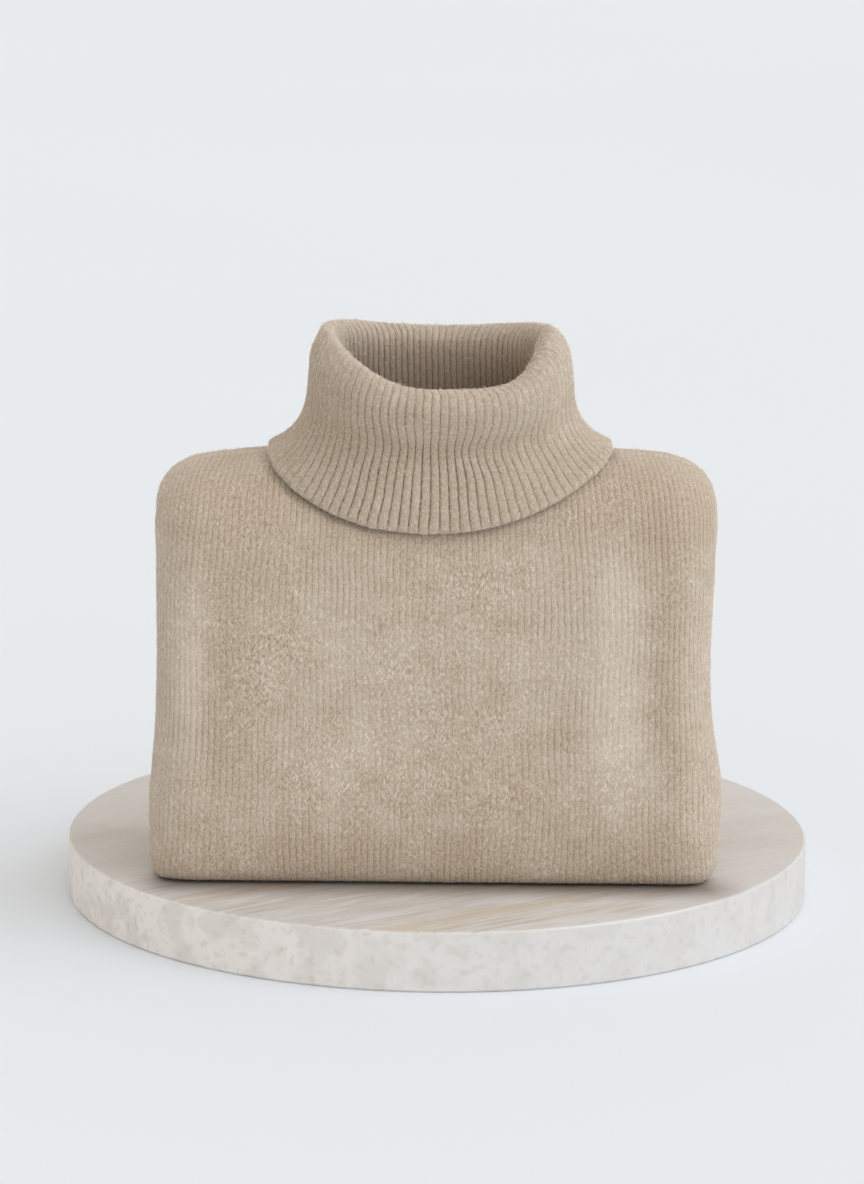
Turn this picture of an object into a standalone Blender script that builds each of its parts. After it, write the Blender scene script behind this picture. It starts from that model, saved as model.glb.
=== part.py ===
"""Folded roll-neck sweater standing on a round stone plinth. Metres, +Z up, front towards -Y."""
import math

import bpy
import bmesh
import numpy as np

MM = 0.001

# driving sizes, millimetres
PLINTH_RADIUS = 200.0
PLINTH_HEIGHT = 32.0
PLINTH_EDGE = 1.2
SEAM_GAP = 0.35
CLOTH = 3.0
FOLD_X = 29.0
SHOULDER_TILT = 0.006
FOLD_TURN = 165.0
TUCK_RUN = 8.5
SLOT_Y = -58.5
SLOT_LOW = 34.0
SLOT_HIGH = 172.0
SLOT_HALF = 4.5
SLEEVE_HALF = 3.9
SLEEVE_DEPTH = 72.0
CORE_GAP = 0.45
NECK_X = -0.6
NECK_Y = -61.5
NECK_HALF_X = 60.8
NECK_HALF_Y = 46.2
RIDGE = 223.0
SWELL_TOP = 220.5
SWELL_HALF_X = 51.5
SWELL_HALF_Y = 35.5
SWELL_ROUND = 2.5
FLOOR_STEPS = 6
HEM_LOW = 114.0
HEM_HIGH = 165.0
COLLAR_RIBS = 86
HEM_RIBS = 80
RIB_RAISE = 1.2
TURN_STEP = 18.0
LONG_STEP = 46.0

# front panel in side view, from the shoulder ridge over the front and the bottom fold up the rear
FRONT_LINE = (
    # depth, height
    (-62.0, RIDGE),
    (-80.0, 222.0),
    (-95.0, 216.5),
    (-106.0, 206.0),
    (-112.0, 192.0),
    (-116.0, 170.0),
    (-118.5, 140.0),
    (-120.0, 100.0),
    (-121.0, 60.0),
    (-120.5, 32.0),
    (-118.0, 15.0),
    (-112.5, 4.5),
    (-103.0, 0.0),
    (-80.0, 0.0),
    (-58.0, 0.0),
    (-36.0, 0.0),
    (-14.0, 0.0),
    (-4.5, 4.5),
    (1.0, 15.0),
    (3.5, 32.0),
    (4.5, 60.0),
    (4.2, 88.0),
    (3.2, HEM_LOW),
)
HEM_LINE = (
    # depth, height
    (3.2, HEM_LOW),
    (3.4, 131.0),
    (2.4, 149.0),
    (0.0, HEM_HIGH),
)
BACK_LINE = (
    # depth, height
    (-62.0, RIDGE),
    (-44.0, 222.2),
    (-28.0, 217.5),
    (-15.0, 208.5),
    (-7.5, 197.0),
    (-4.8, 182.0),
    (-4.4, HEM_HIGH + 0.6),
)

# half width of the bundle at each height
SIDE_REACH = (
    # height, right hand of the wearer, left hand of the wearer
    (0.0, 151.0, 147.5),
    (38.0, 152.8, 149.6),
    (58.0, 151.3, 148.6),
    (80.0, 149.2, 144.8),
    (105.0, 148.2, 142.2),
    (145.0, 148.0, 143.0),
    (170.0, 148.5, 144.2),
    (205.0, 148.9, 144.6),
    (224.0, 148.9, 144.6),
)
SIDE_CORNER = (
    # height, power of the rounding: lower is squarer
    (0.0, 0.50),
    (20.0, 0.72),
    (45.0, 1.0),
    (180.0, 1.0),
    (224.0, 0.90),
)
SHOULDER_DROP = (
    # across, drop
    (0.0, 0.0),
    (60.0, 0.6),
    (85.0, 1.4),
    (100.0, 2.2),
    (112.0, 3.2),
    (124.0, 4.6),
    (150.0, 5.6),
)

# the ribbed tube from the neck seam up the inside, over the rim and down the outside
COLLAR = (
    # half width, front depth, back depth, front height, side height, back height, squareness,
    # spread of the ribs, sideways tilt
    (56.0, -103.0, -20.0, 206.0, 220.0, 213.0, 2.0, 0.0, 0.0),
    (53.5, -99.5, -22.5, 232.0, 247.0, 248.0, 2.1, 0.0, 0.0),
    (51.0, -97.0, -25.0, 251.5, 274.0, 270.0, 2.2, 0.0, 0.0),
    (52.5, -98.5, -23.5, 258.0, 283.0, 276.5, 2.2, 0.0, 0.0),
    (57.0, -103.5, -19.0, 261.5, 288.0, 280.0, 2.2, 0.0, 0.0),
    (63.0, -109.0, -13.0, 258.5, 284.5, 278.0, 2.2, 0.0, 0.0),
    (66.3, -111.8, -9.8, 252.0, 276.0, 271.0, 2.2, 0.0, 0.0),
    (67.6, -112.3, -8.5, 243.0, 263.0, 259.0, 2.25, 0.0, 0.0),
    (69.0, -111.5, -8.0, 229.5, 246.0, 242.0, 2.35, 0.02, 0.0),
    (73.6, -114.5, -6.0, 215.0, 236.0, 230.0, 2.7, 0.08, 0.0),
    (80.6, -118.0, -4.0, 201.0, 229.3, 218.0, 3.0, 0.12, 0.004),
    (90.0, -121.5, -2.5, 189.5, 224.8, 207.0, 3.2, 0.15, 0.012),
)
NECK_COLUMNS = (-60.8, -58.0, -50.5, -37.0, -19.0, 0.0, 19.0, 37.0, 50.5, 58.0, 60.8)
FOLD_TURNS = (0.0, 18.0, 38.0, 60.0, 85.0, 110.0, 137.0, 165.0)
KNIT = (0.47, 0.39, 0.30, 1.0)
KNIT_DARK = (0.40, 0.33, 0.25, 1.0)
STONE = (0.66, 0.63, 0.58, 1.0)


def clear_scene():
    for item in list(bpy.data.objects):
        bpy.data.objects.remove(item, do_unlink=True)


def material(name, colour, roughness):
    mat = bpy.data.materials.new(name)
    mat.use_nodes = True
    shader = mat.node_tree.nodes["Principled BSDF"]
    shader.inputs["Base Color"].default_value = colour
    shader.inputs["Roughness"].default_value = roughness
    mat.diffuse_color = colour
    return mat


def finish(name, points, faces, mat, crease):
    mesh = bpy.data.meshes.new(name)
    mesh.from_pydata([tuple(c * MM for c in p) for p in points], [], faces)
    work = bmesh.new()
    work.from_mesh(mesh)
    bmesh.ops.recalc_face_normals(work, faces=work.faces)
    work.to_mesh(mesh)
    work.free()
    mesh.materials.append(mat)
    for face in mesh.polygons:
        face.use_smooth = True
    mesh.set_sharp_from_angle(angle=math.radians(crease))
    obj = bpy.data.objects.new(name, mesh)
    bpy.context.scene.collection.objects.link(obj)
    return obj


def smooth_line(table):
    """Dense rounded line through a table of points, kept above the floor."""
    pts = [np.array(p, dtype=float) for p in table]
    pts = [2 * pts[0] - pts[1]] + pts + [2 * pts[-1] - pts[-2]]
    dense = []
    for i in range(1, len(pts) - 2):
        a, b, c, d = pts[i - 1], pts[i], pts[i + 1], pts[i + 2]
        for k in range(16):
            t = k / 16.0
            dense.append(0.5 * (2 * b + (c - a) * t + (2 * a - 5 * b + 4 * c - d) * t * t
                                + (3 * b - a - 3 * c + d) * t ** 3))
    dense.append(pts[-2])
    dense = np.array(dense)
    dense[:, 1] = np.maximum(dense[:, 1], 0.0)
    return dense


def lengths(line):
    steps = np.linalg.norm(np.diff(line, axis=0), axis=1)
    return np.concatenate([[0.0], np.cumsum(steps)])


def line_rows(line):
    """Places along the line, closer together where it turns."""
    run = lengths(line)
    way = np.diff(line, axis=0)
    angle = np.unwrap(np.arctan2(way[:, 1], way[:, 0]))
    rows = [0.0]
    last = angle[0]
    for i in range(1, len(way)):
        turned = abs(angle[i] - last) > math.radians(TURN_STEP)
        if turned or run[i] - rows[-1] > LONG_STEP:
            rows.append(run[i])
            last = angle[i]
    if run[-1] - rows[-1] < 6.0 and len(rows) > 1:
        rows.pop()
    rows.append(run[-1])
    return rows


def at(line, run, s):
    return np.array([np.interp(s, run, line[:, 0]), np.interp(s, run, line[:, 1])])


def column(table, key, index):
    return np.interp(key, [r[0] for r in table], [r[index] for r in table])


REACH_LINES = [smooth_line([(row[0], row[k]) for row in SIDE_REACH]) for k in (1, 2)]


def side_reach(z, side):
    line = REACH_LINES[0 if side < 0 else 1]
    return np.interp(z, line[:, 0], line[:, 1])


def body_columns():
    """Stations across the bundle: the tuck, the round side fold, then the flat face."""
    out = [(-1, FOLD_TURN, TUCK_RUN)]
    out += [(-1, turn, 0.0) for turn in reversed(FOLD_TURNS)]
    out += [(0, -90.0, 0.0), (0, -73.0, 0.0)]
    out += [(0, x, 0.0) for x in NECK_COLUMNS]
    out += [(0, 73.0, 0.0), (0, 90.0, 0.0)]
    out += [(1, turn, 0.0) for turn in FOLD_TURNS]
    out += [(1, FOLD_TURN, TUCK_RUN)]
    return out


def body_point(yz, col, slot=SLOT_HALF):
    """A point of the bundle's outer face; sides turn round towards the slot in the middle."""
    side, turn, run = col
    y, z = yz
    lift = min(max((z - 140.0) / 80.0, 0.0), 1.0) ** 2
    if side == 0:
        drop = column(SHOULDER_DROP, abs(turn), 1) - SHOULDER_TILT * turn
        return np.array([turn, y, z - drop * lift])
    reach = side_reach(z, side)
    round_x = math.sin(math.radians(turn))
    if 0.0 < turn < 90.0:
        round_x = round_x ** column(SIDE_CORNER, z, 1)
    x = side * (reach - FOLD_X + FOLD_X * round_x - run)
    mid = np.array([SLOT_Y, min(max(z, SLOT_LOW), SLOT_HIGH)])
    way = mid - np.array([y, z])
    far = np.linalg.norm(way)
    part = (1 - math.cos(math.radians(turn))) / (1 - math.cos(math.radians(FOLD_TURN)))
    inset = (far - slot) * part
    drop = (column(SHOULDER_DROP, abs(x), 1) - SHOULDER_TILT * x) * (1 - part)
    spot = np.array([y, z]) + way / far * inset
    return np.array([x, spot[0], spot[1] - drop * lift])


def neck_edge(x, sign):
    inside = max(0.0, 1.0 - (x / NECK_HALF_X) ** 2)
    return NECK_Y + sign * NECK_HALF_Y * math.sqrt(inside)


def panel_grid(line, rows, columns, sign):
    """Grid of outer points; the top rows bend round the neck hole."""
    run = lengths(line)
    bend = [s for s in rows if s <= 78.0][-1]
    grid = []
    for s in rows:
        ring = []
        for col in columns:
            place = s
            start = 0.0
            if col[0] == 0 and abs(col[1]) < NECK_HALF_X - 0.01:
                edge = neck_edge(col[1], sign)
                near = line[:len(line) * 2 // 5 if sign < 0 else len(line)]
                order = near[:, 0] * sign
                start = float(np.interp(edge * sign, order, run[:len(near)]))
            if s < bend:
                place = start + (bend - start) * s / bend
            spot = body_point(at(line, run, place), col)
            if s == 0.0 and start == 0.0:
                spot[1] += sign * SEAM_GAP / 2
            ring.append(spot)
        grid.append(ring)
    return np.array(grid)


def normals(grid, closed):
    """Unit normals of a grid of points (rows, columns)."""
    down = np.gradient(grid, axis=0)
    if closed:
        over = (np.roll(grid, -1, axis=1) - np.roll(grid, 1, axis=1)) / 2
    else:
        over = np.gradient(grid, axis=1)
    out = np.cross(down, over)
    size = np.linalg.norm(out, axis=2, keepdims=True)
    return out / np.maximum(size, 1e-9)


def level_rows(facing, picked):
    """Make the edge of a piece square to the height, so seams stay even."""
    for r in picked:
        facing[r, :, 2] = 0.0
        facing[r] /= np.linalg.norm(facing[r], axis=1, keepdims=True)
    return facing


def panel_normals(grid, columns):
    """Outward normals; both panels share the same ones along the shoulder seam."""
    facing = level_rows(outward(grid, normals(grid, False)), (-1,))
    along = np.gradient(grid[0], axis=0)
    for c, col in enumerate(columns):
        if col[0] == 0 and abs(col[1]) < NECK_HALF_X - 0.01:
            facing[0, c] = (0.0, 0.0, 1.0 / max(0.42, facing[0, c, 2]))
            continue
        way = np.array([along[c, 2], 0.0, -along[c, 0]])
        way /= np.linalg.norm(way)
        facing[0, c] = way if np.dot(way, facing[0, c]) > 0 else -way
    return facing


def wall(name, outer, inner, closed, every, mat, crease=40.0, flip=False):
    """Closed wall between an outer grid and an inner grid with fewer columns."""
    rows, wide = outer.shape[0], outer.shape[1]
    slim = inner.shape[1]
    points = [tuple(p) for ring in outer for p in ring]
    base = len(points)
    points += [tuple(p) for ring in inner for p in ring]
    faces = []
    spans = wide if closed else wide - 1
    narrow = slim if closed else slim - 1

    def out_id(r, c):
        return r * wide + c % wide

    def in_id(r, c):
        return base + r * slim + c % slim

    for r in range(rows - 1):
        for c in range(spans):
            faces.append((out_id(r, c), out_id(r, c + 1), out_id(r + 1, c + 1), out_id(r + 1, c)))
        for c in range(narrow):
            quad = [in_id(r, c), in_id(r + 1, c), in_id(r + 1, c + 1), in_id(r, c + 1)]
            quad = quad[1:] + quad[:1] if flip else quad
            faces.append((quad[0], quad[1], quad[2]))
            faces.append((quad[0], quad[2], quad[3]))
        if not closed:
            faces.append((out_id(r, 0), out_id(r + 1, 0), in_id(r + 1, 0), in_id(r, 0)))
            end = wide - 1
            last = slim - 1
            faces.append((out_id(r, end), in_id(r, last), in_id(r + 1, last), out_id(r + 1, end)))
    for r in (0, rows - 1):
        for c in range(narrow):
            for k in range(every):
                faces.append((in_id(r, c), out_id(r, c * every + k), out_id(r, c * every + k + 1)))
            faces.append((in_id(r, c), out_id(r, (c + 1) * every), in_id(r, c + 1)))
    return finish(name, points, faces, mat, crease)


def loops_solid(name, loops, mat, crease=40.0):
    """Closed solid through rings of points, capped at both ends."""
    count = len(loops[0])
    points = [tuple(p) for loop in loops for p in loop]
    faces = []
    for i in range(len(loops) - 1):
        for k in range(count):
            n = (k + 1) % count
            quad = (i * count + k, i * count + n, (i + 1) * count + n, (i + 1) * count + k)
            faces.append((quad[0], quad[1], quad[2]))
            faces.append((quad[0], quad[2], quad[3]))
    faces.append(tuple(range(count)))
    faces.append(tuple((len(loops) - 1) * count + k for k in range(count)))
    return finish(name, points, faces, mat, crease)


def lift_up(grid):
    grid = np.array(grid)
    grid[..., 2] += PLINTH_HEIGHT + 0.3
    return grid


def build_plinth(mat):
    profile = (
        # radius, height
        (PLINTH_RADIUS - PLINTH_EDGE, 0.0),
        (PLINTH_RADIUS, PLINTH_EDGE),
        (PLINTH_RADIUS, PLINTH_HEIGHT - PLINTH_EDGE),
        (PLINTH_RADIUS - PLINTH_EDGE, PLINTH_HEIGHT),
    )
    loops = []
    for radius, height in profile:
        ring = []
        for k in range(80):
            a = 2 * math.pi * k / 80
            ring.append((radius * math.cos(a), radius * math.sin(a), height))
        loops.append(ring)
    return loops_solid("stone_plinth", loops, mat)


def build_front(line, rows, mat):
    outer = panel_grid(line, rows, body_columns(), -1)
    facing = panel_normals(outer, body_columns())
    return wall("front_panel", lift_up(outer), lift_up(outer - facing * CLOTH), False, 1, mat)


def build_back(line, rows, mat):
    outer = panel_grid(line, rows, body_columns(), 1)
    facing = panel_normals(outer, body_columns())
    inner = lift_up(outer - facing * CLOTH)
    return wall("back_panel", lift_up(outer), inner, False, 1, mat, flip=True)


def outward(grid, facing):
    """Turn normals so that the middle of the grid faces away from the slot."""
    r, c = grid.shape[0] // 2, grid.shape[1] // 2
    away = grid[r, c] - np.array([0.0, SLOT_Y, 100.0])
    if np.dot(facing[r, c], away) < 0:
        return -facing
    return facing


def build_hem(line, mat):
    """Ribbed welt: ribs stand side by side across the rear and round the side folds."""
    run = lengths(line)
    rows = [SEAM_GAP, run[-1] * 0.62, run[-1]]
    turns = [FOLD_TURN * k / 60 for k in range(61)]
    cols = [(-1, FOLD_TURN, TUCK_RUN)] + [(-1, t, 0.0) for t in reversed(turns)]
    cols += [(1, t, 0.0) for t in turns] + [(1, FOLD_TURN, TUCK_RUN)]
    path = np.array([body_point(at(line, run, run[-1] * 0.62), c) for c in cols])
    along = lengths(path)
    marks = np.linspace(0.0, along[-1], HEM_RIBS * 2 + 1)
    fine = []
    for s in rows:
        ring = np.array([body_point(at(line, run, s), c) for c in cols])
        fine.append([[np.interp(m, along, ring[:, k]) for k in range(3)] for m in marks])
    fine = np.array(fine)
    facing = level_rows(outward(fine, normals(fine, False)), (0, -1))
    ends = np.minimum(marks, along[-1] - marks)
    raised = np.clip((ends - 14.0) / 10.0, 0.0, 1.0) * RIB_RAISE
    raised[::2] = 0.0
    outer = fine + facing * raised[None, :, None]
    inner = (fine - facing * CLOTH)[:, ::2]
    return wall("hem_rib", lift_up(outer), lift_up(inner), False, 2, mat, 25.0)


def neck_floor(back, front, col):
    """Top of the hidden layers from the back neck line to the front; it swells inside the collar."""
    inside = 0.0
    if col[0] == 0:
        inside = max(0.0, 1.0 - abs(col[1] / SWELL_HALF_X) ** 2.2) ** (1 / 2.2)
    spots = []
    for k in range(1, FLOOR_STEPS):
        spot = back + (front - back) * (0.5 - 0.5 * math.cos(math.pi * k / FLOOR_STEPS))
        if inside > 0.0:
            sign = (FLOOR_STEPS / 2 - k) / max(1.0, abs(FLOOR_STEPS / 2 - k))
            top = abs(FLOOR_STEPS / 2 - k) < FLOOR_STEPS / 2 - 1
            spot[1] = NECK_Y + sign * (SWELL_HALF_Y * inside - (SWELL_ROUND if top else 0.0))
            share = (spot[1] - back[1]) / (front[1] - back[1])
            spot[2] = back[2] + (front[2] - back[2]) * share
            if top:
                spot[2] = SWELL_TOP - SWELL_ROUND * abs(sign)
        spots.append(spot)
    return spots


def build_core(front, front_rows, hem, back, back_rows, mat):
    """Hidden layers: one rounded solid that fills the walls and swells up inside the collar."""
    cols = body_columns()
    deep = CLOTH + CORE_GAP
    front_grid = panel_grid(front, front_rows, cols, -1)
    back_grid = panel_grid(back, back_rows, cols, 1)
    hem_run = lengths(hem)
    hem_rows = [0.0, hem_run[-1] * 0.62, hem_run[-1] - 0.9]
    hem_grid = np.array([[body_point(at(hem, hem_run, s), c) for c in cols] for s in hem_rows])
    front_in = front_grid - panel_normals(front_grid, cols) * deep
    hem_in = hem_grid - level_rows(outward(hem_grid, normals(hem_grid, False)), (0, -1)) * (deep + 0.25)
    back_in = back_grid - panel_normals(back_grid, cols) * deep
    loops = []
    for c, col in enumerate(cols):
        loop = [front_in[r, c] for r in range(len(front_rows) - 1)]
        loop += [hem_in[r, c] for r in range(3)]
        loop += [back_in[r, c] for r in reversed(range(len(back_rows)))]
        loop += neck_floor(back_in[0, c], front_in[0, c], col)
        loops.append(np.array(loop))
    ends = []
    for index, side in ((0, -1), (len(loops) - 1, 1)):
        near = loops[index].copy()
        near[:, 0] -= side * SEAM_GAP
        step = near.copy()
        mid_z = np.clip(step[:, 2], SLOT_LOW, SLOT_HIGH)
        away = np.stack([step[:, 1] - SLOT_Y, step[:, 2] - mid_z], axis=1)
        away /= np.linalg.norm(away, axis=1, keepdims=True)
        step[:, 1] = SLOT_Y + away[:, 0] * SLOT_HALF
        step[:, 2] = mid_z + away[:, 1] * SLOT_HALF
        deep_end = step.copy()
        deep_end[:, 0] = side * (140.0 - SLEEVE_DEPTH)
        ends.append((near, step, deep_end))
    left, right = ends
    chain = [left[2], left[1], left[0]] + loops + [right[0], right[1], right[2]]
    return loops_solid("folded_layers", [lift_up(np.array(l)) for l in chain], mat)


def build_sleeve(name, side, mat):
    """Sleeve folded back and down inside the slot; its two layers show at the edge."""
    table = (
        # in from the side, half thickness, end trim
        (SLEEVE_DEPTH, 1.2, 5.0),
        (SLEEVE_DEPTH - 2.0, SLEEVE_HALF, 2.5),
        (24.0, SLEEVE_HALF, 0.0),
        (15.0, 4.5, 0.0),
        (12.0, 4.6, 0.5),
        (9.5, 4.2, 2.0),
        (9.0, 2.8, 3.0),
        (11.5, 0.9, 5.0),
    )
    loops = []
    for back, half, trim in table:
        low = SLOT_LOW + 2.0 + trim
        high = SLOT_HIGH - 12.0 - trim
        ring = []
        for k in range(9):
            a = math.pi * k / 8
            ring.append((SLOT_Y - half * math.cos(a), high + half * math.sin(a)))
        for z in (140.0, 105.0, 70.0):
            ring.append((SLOT_Y + half, z))
        for k in range(9):
            a = math.pi * k / 8
            ring.append((SLOT_Y + half * math.cos(a), low - half * math.sin(a)))
        for z in (70.0, 105.0, 140.0):
            ring.append((SLOT_Y - half, z))
        loops.append(lift_up([(side * (side_reach(z, side) - back), y, z) for y, z in ring]))
    return loops_solid(name, loops, mat)


def top_height(x, y, front, back):
    """Height of the shoulders' outer face over a place inside the neck line."""
    line = front[:len(front) * 2 // 5] if y < NECK_Y else back
    order = line[:, 0] * (-1 if y < NECK_Y else 1)
    z = float(np.interp(y * (-1 if y < NECK_Y else 1), order, line[:, 1]))
    return body_point((y, z), (0, x, 0.0))[2]


def collar_ring(station, marks, shift):
    """One ring of the ribbed tube, sampled at even shares of its way round."""
    half, front, back, z_front, z_side, z_back, square, spread, tilt = station
    mid = (front + back) / 2
    deep = (back - front) / 2
    dense = []
    for k in range(721):
        a = 2 * math.pi * k / 720
        s, c = math.sin(a), math.cos(a)
        x = shift + half * math.copysign(abs(s) ** (2 / square), s)
        y = mid - deep * math.copysign(abs(c) ** (2 / square), c)
        share = min(1.0, abs(x - shift) / half) ** 3
        end = z_front if c > 0 else z_back
        z = end + (z_side - end) * share + tilt * x
        dense.append((x, y, z))
    dense = np.array(dense)
    run = lengths(dense)
    ring = []
    for m in marks:
        share = m - spread / (4 * math.pi) * math.sin(4 * math.pi * m)
        ring.append([np.interp(share * run[-1], run, dense[:, k]) for k in range(3)])
    return ring


def build_collar(front, back, mat):
    pattern = (0.0, 0.30, 0.70)
    marks = [(k + f) / COLLAR_RIBS for k in range(COLLAR_RIBS) for f in pattern]
    shifts = [0.0] + [NECK_X] * (len(COLLAR) - 1)
    base = np.array([collar_ring(st, marks, dx) for st, dx in zip(COLLAR, shifts)])
    for spot in base[0]:
        hole_x = spot[0] * NECK_HALF_X / COLLAR[0][0]
        hole_y = NECK_Y + (spot[1] - NECK_Y) * NECK_HALF_Y / (NECK_Y - COLLAR[0][1])
        spot[2] = top_height(hole_x, hole_y, front, back) - 1.0
    facing = normals(base, True)
    probe = facing[6, 0]
    if probe[1] > 0:
        facing = -facing
    raised = np.array([0.0 if k % 3 == 0 else RIB_RAISE for k in range(len(marks))])
    rows = np.ones(len(COLLAR))
    rows[0] = 0.3
    outer = base + facing * raised[None, :, None] * rows[:, None, None]
    inner = (base - facing * CLOTH)[:, ::3]
    return wall("roll_collar", lift_up(outer), lift_up(inner), True, 3, mat, 60.0)


clear_scene()
knit = material("knit", KNIT, 0.95)
rib_knit = material("rib_knit", KNIT_DARK, 0.95)
stone = material("stone", STONE, 0.45)
front_line = smooth_line(FRONT_LINE)
hem_line = smooth_line(HEM_LINE)
back_line = smooth_line(BACK_LINE)
front_rows = line_rows(front_line)
back_rows = line_rows(back_line)
build_plinth(stone)
build_front(front_line, front_rows, knit)
build_back(back_line, back_rows, knit)
build_hem(hem_line, rib_knit)
build_core(front_line, front_rows, hem_line, back_line, back_rows, knit)
build_sleeve("sleeve_right", -1, knit)
build_sleeve("sleeve_left", 1, knit)
build_collar(front_line, back_line, rib_knit)
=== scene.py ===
"""Folded roll-neck sweater on a round marble plinth: the finish of every surface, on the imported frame.

Tables and sizes are in millimetres and are turned to metres where a mesh is made.
+Z is up, the front is towards -Y and the wearer's left is towards +X.
"""
import math

import bmesh
import bpy
import numpy as np
from mathutils import Matrix, Vector, noise
from mathutils.kdtree import KDTree


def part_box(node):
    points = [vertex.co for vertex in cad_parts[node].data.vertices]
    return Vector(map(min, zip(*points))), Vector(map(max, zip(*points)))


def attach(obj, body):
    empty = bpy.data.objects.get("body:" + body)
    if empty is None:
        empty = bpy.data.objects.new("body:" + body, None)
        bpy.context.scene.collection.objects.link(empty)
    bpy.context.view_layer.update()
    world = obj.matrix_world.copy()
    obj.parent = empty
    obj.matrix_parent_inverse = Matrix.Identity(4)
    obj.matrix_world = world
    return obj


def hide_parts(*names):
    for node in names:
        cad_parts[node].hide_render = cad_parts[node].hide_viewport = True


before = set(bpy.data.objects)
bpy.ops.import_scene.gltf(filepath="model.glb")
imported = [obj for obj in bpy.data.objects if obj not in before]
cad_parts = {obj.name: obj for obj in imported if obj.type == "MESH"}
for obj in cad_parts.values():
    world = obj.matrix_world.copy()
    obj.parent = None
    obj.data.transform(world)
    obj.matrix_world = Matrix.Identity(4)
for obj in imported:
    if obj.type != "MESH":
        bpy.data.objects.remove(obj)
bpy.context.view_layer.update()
bpy.ops.object.select_all(action="DESELECT")
bpy.context.scene.view_settings.view_transform = "Standard"
MM = 0.001


# ---------------------------------------------------------------- round marble plinth
# A disc of pale marble, sawn along its bedding and honed, with its edges just eased.
# Warm beige veins lie long and flat across the top; the side shows them end on, as soft mottling.
# Its sizes are in metres, as its material reads places on the stone itself.
STONE_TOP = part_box("stone_plinth")[1].z
STONE_EDGE = 0.0012
STONE_PALE, STONE_WARM, STONE_GREY = "#dcdbda", "#d0c6b9", "#c4c0bb"
# the side runs paler to the left and greyer to the right: painted light and painted shade set against how the
# light falls on it
STONE_SIDE_PAINTED_LIGHT, STONE_SIDE_PAINTED_SHADE = "#f0ebe5", "#d4d3d1"
STONE_BLOT, STONE_FLECK = "#cdc8c1", "#bdb3a6"
# long streaks: size along, across and down, turn, detail, place, warp; grain from and to, share at each
VEINS = ((0.17, 0.035, 0.05), 0.58, 8.0, (0.03, 0.01, 0), 0.6), (0.42, 0.60, 0.0, 1.0), STONE_WARM
WISPS = ((0.05, 0.006, 0.02), 0.62, 6.0, (0.2, 0.3, 0), 0.6), (0.46, 0.62, 0.0, 0.80), STONE_PALE
THREADS = ((0.06, 0.0035, 0.02), 0.60, 4.0, (0.7, 0.1, 0), 0.5), (0.54, 0.66, 0.0, 0.60), STONE_FLECK
WOOL_SHADE = "#593815"            # the warm shade that the wool casts on the stone close before it
WOOL_SHADE_RUN = 0.028            # how far that shade runs
WOOL_HALF_X, WOOL_FRONT_Y = 0.140, -0.117  # where the wool ends to each side and in front


def linear(code):
    """An sRGB hex colour as linear RGBA."""
    parts = [int(code[i:i + 2], 16) / 255 for i in (1, 3, 5)]
    return [p / 12.92 if p <= 0.04045 else ((p + 0.055) / 1.055) ** 2.4 for p in parts] + [1.0]


def add_node(tree, kind, sockets=(), **settings):
    """Adds a node; sockets pairs an input's name or number with a value or with another node's output."""
    node = tree.nodes.new("ShaderNode" + kind)
    for key, value in settings.items():
        setattr(node, key, value)
    for socket, value in sockets:
        if isinstance(value, bpy.types.NodeSocket):
            tree.links.new(value, node.inputs[socket])
        else:
            node.inputs[socket].default_value = value
    return node


def new_material(name, roughness, ior):
    """A material with only its Principled shader, which it returns with its tree."""
    material = bpy.data.materials.new(name)
    material.use_nodes = True
    shader = material.node_tree.nodes["Principled BSDF"]
    shader.inputs["Roughness"].default_value = roughness
    shader.inputs["IOR"].default_value = ior
    return material, material.node_tree, shader


def mixed(tree, share, first, second):
    """Blend of two colours or colour outputs."""
    return add_node(tree, "Mix", ((0, share), (6, first), (7, second)), data_type="RGBA").outputs[2]


def ramped(tree, value, low, high, to_low=0.0, to_high=1.0):
    """A value between low and high, spread smoothly to a new range."""
    sockets = ((0, value), (1, low), (2, high), (3, to_low), (4, to_high))
    return add_node(tree, "MapRange", sockets, interpolation_type="SMOOTHSTEP").outputs[0]


def grain(tree, point, size, turn, detail, place=(0, 0, 0), warp=0.0):
    """Noise whose lumps have a real size along each axis and lie turned about Z."""
    sockets = (("Vector", point), ("Location", place), ("Rotation", (0, 0, turn)), ("Scale", size))
    laid = add_node(tree, "Mapping", sockets, vector_type="TEXTURE").outputs[0]
    sockets = ("Vector", laid), ("Scale", 1.0), ("Detail", detail), ("Roughness", 0.55), ("Distortion", warp)
    return add_node(tree, "TexNoise", sockets).outputs[0]


def sums(tree):
    """A short way to add Math nodes to a tree."""
    return lambda kind, *values: add_node(tree, "Math", tuple(enumerate(values)), operation=kind).outputs[0]


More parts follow.
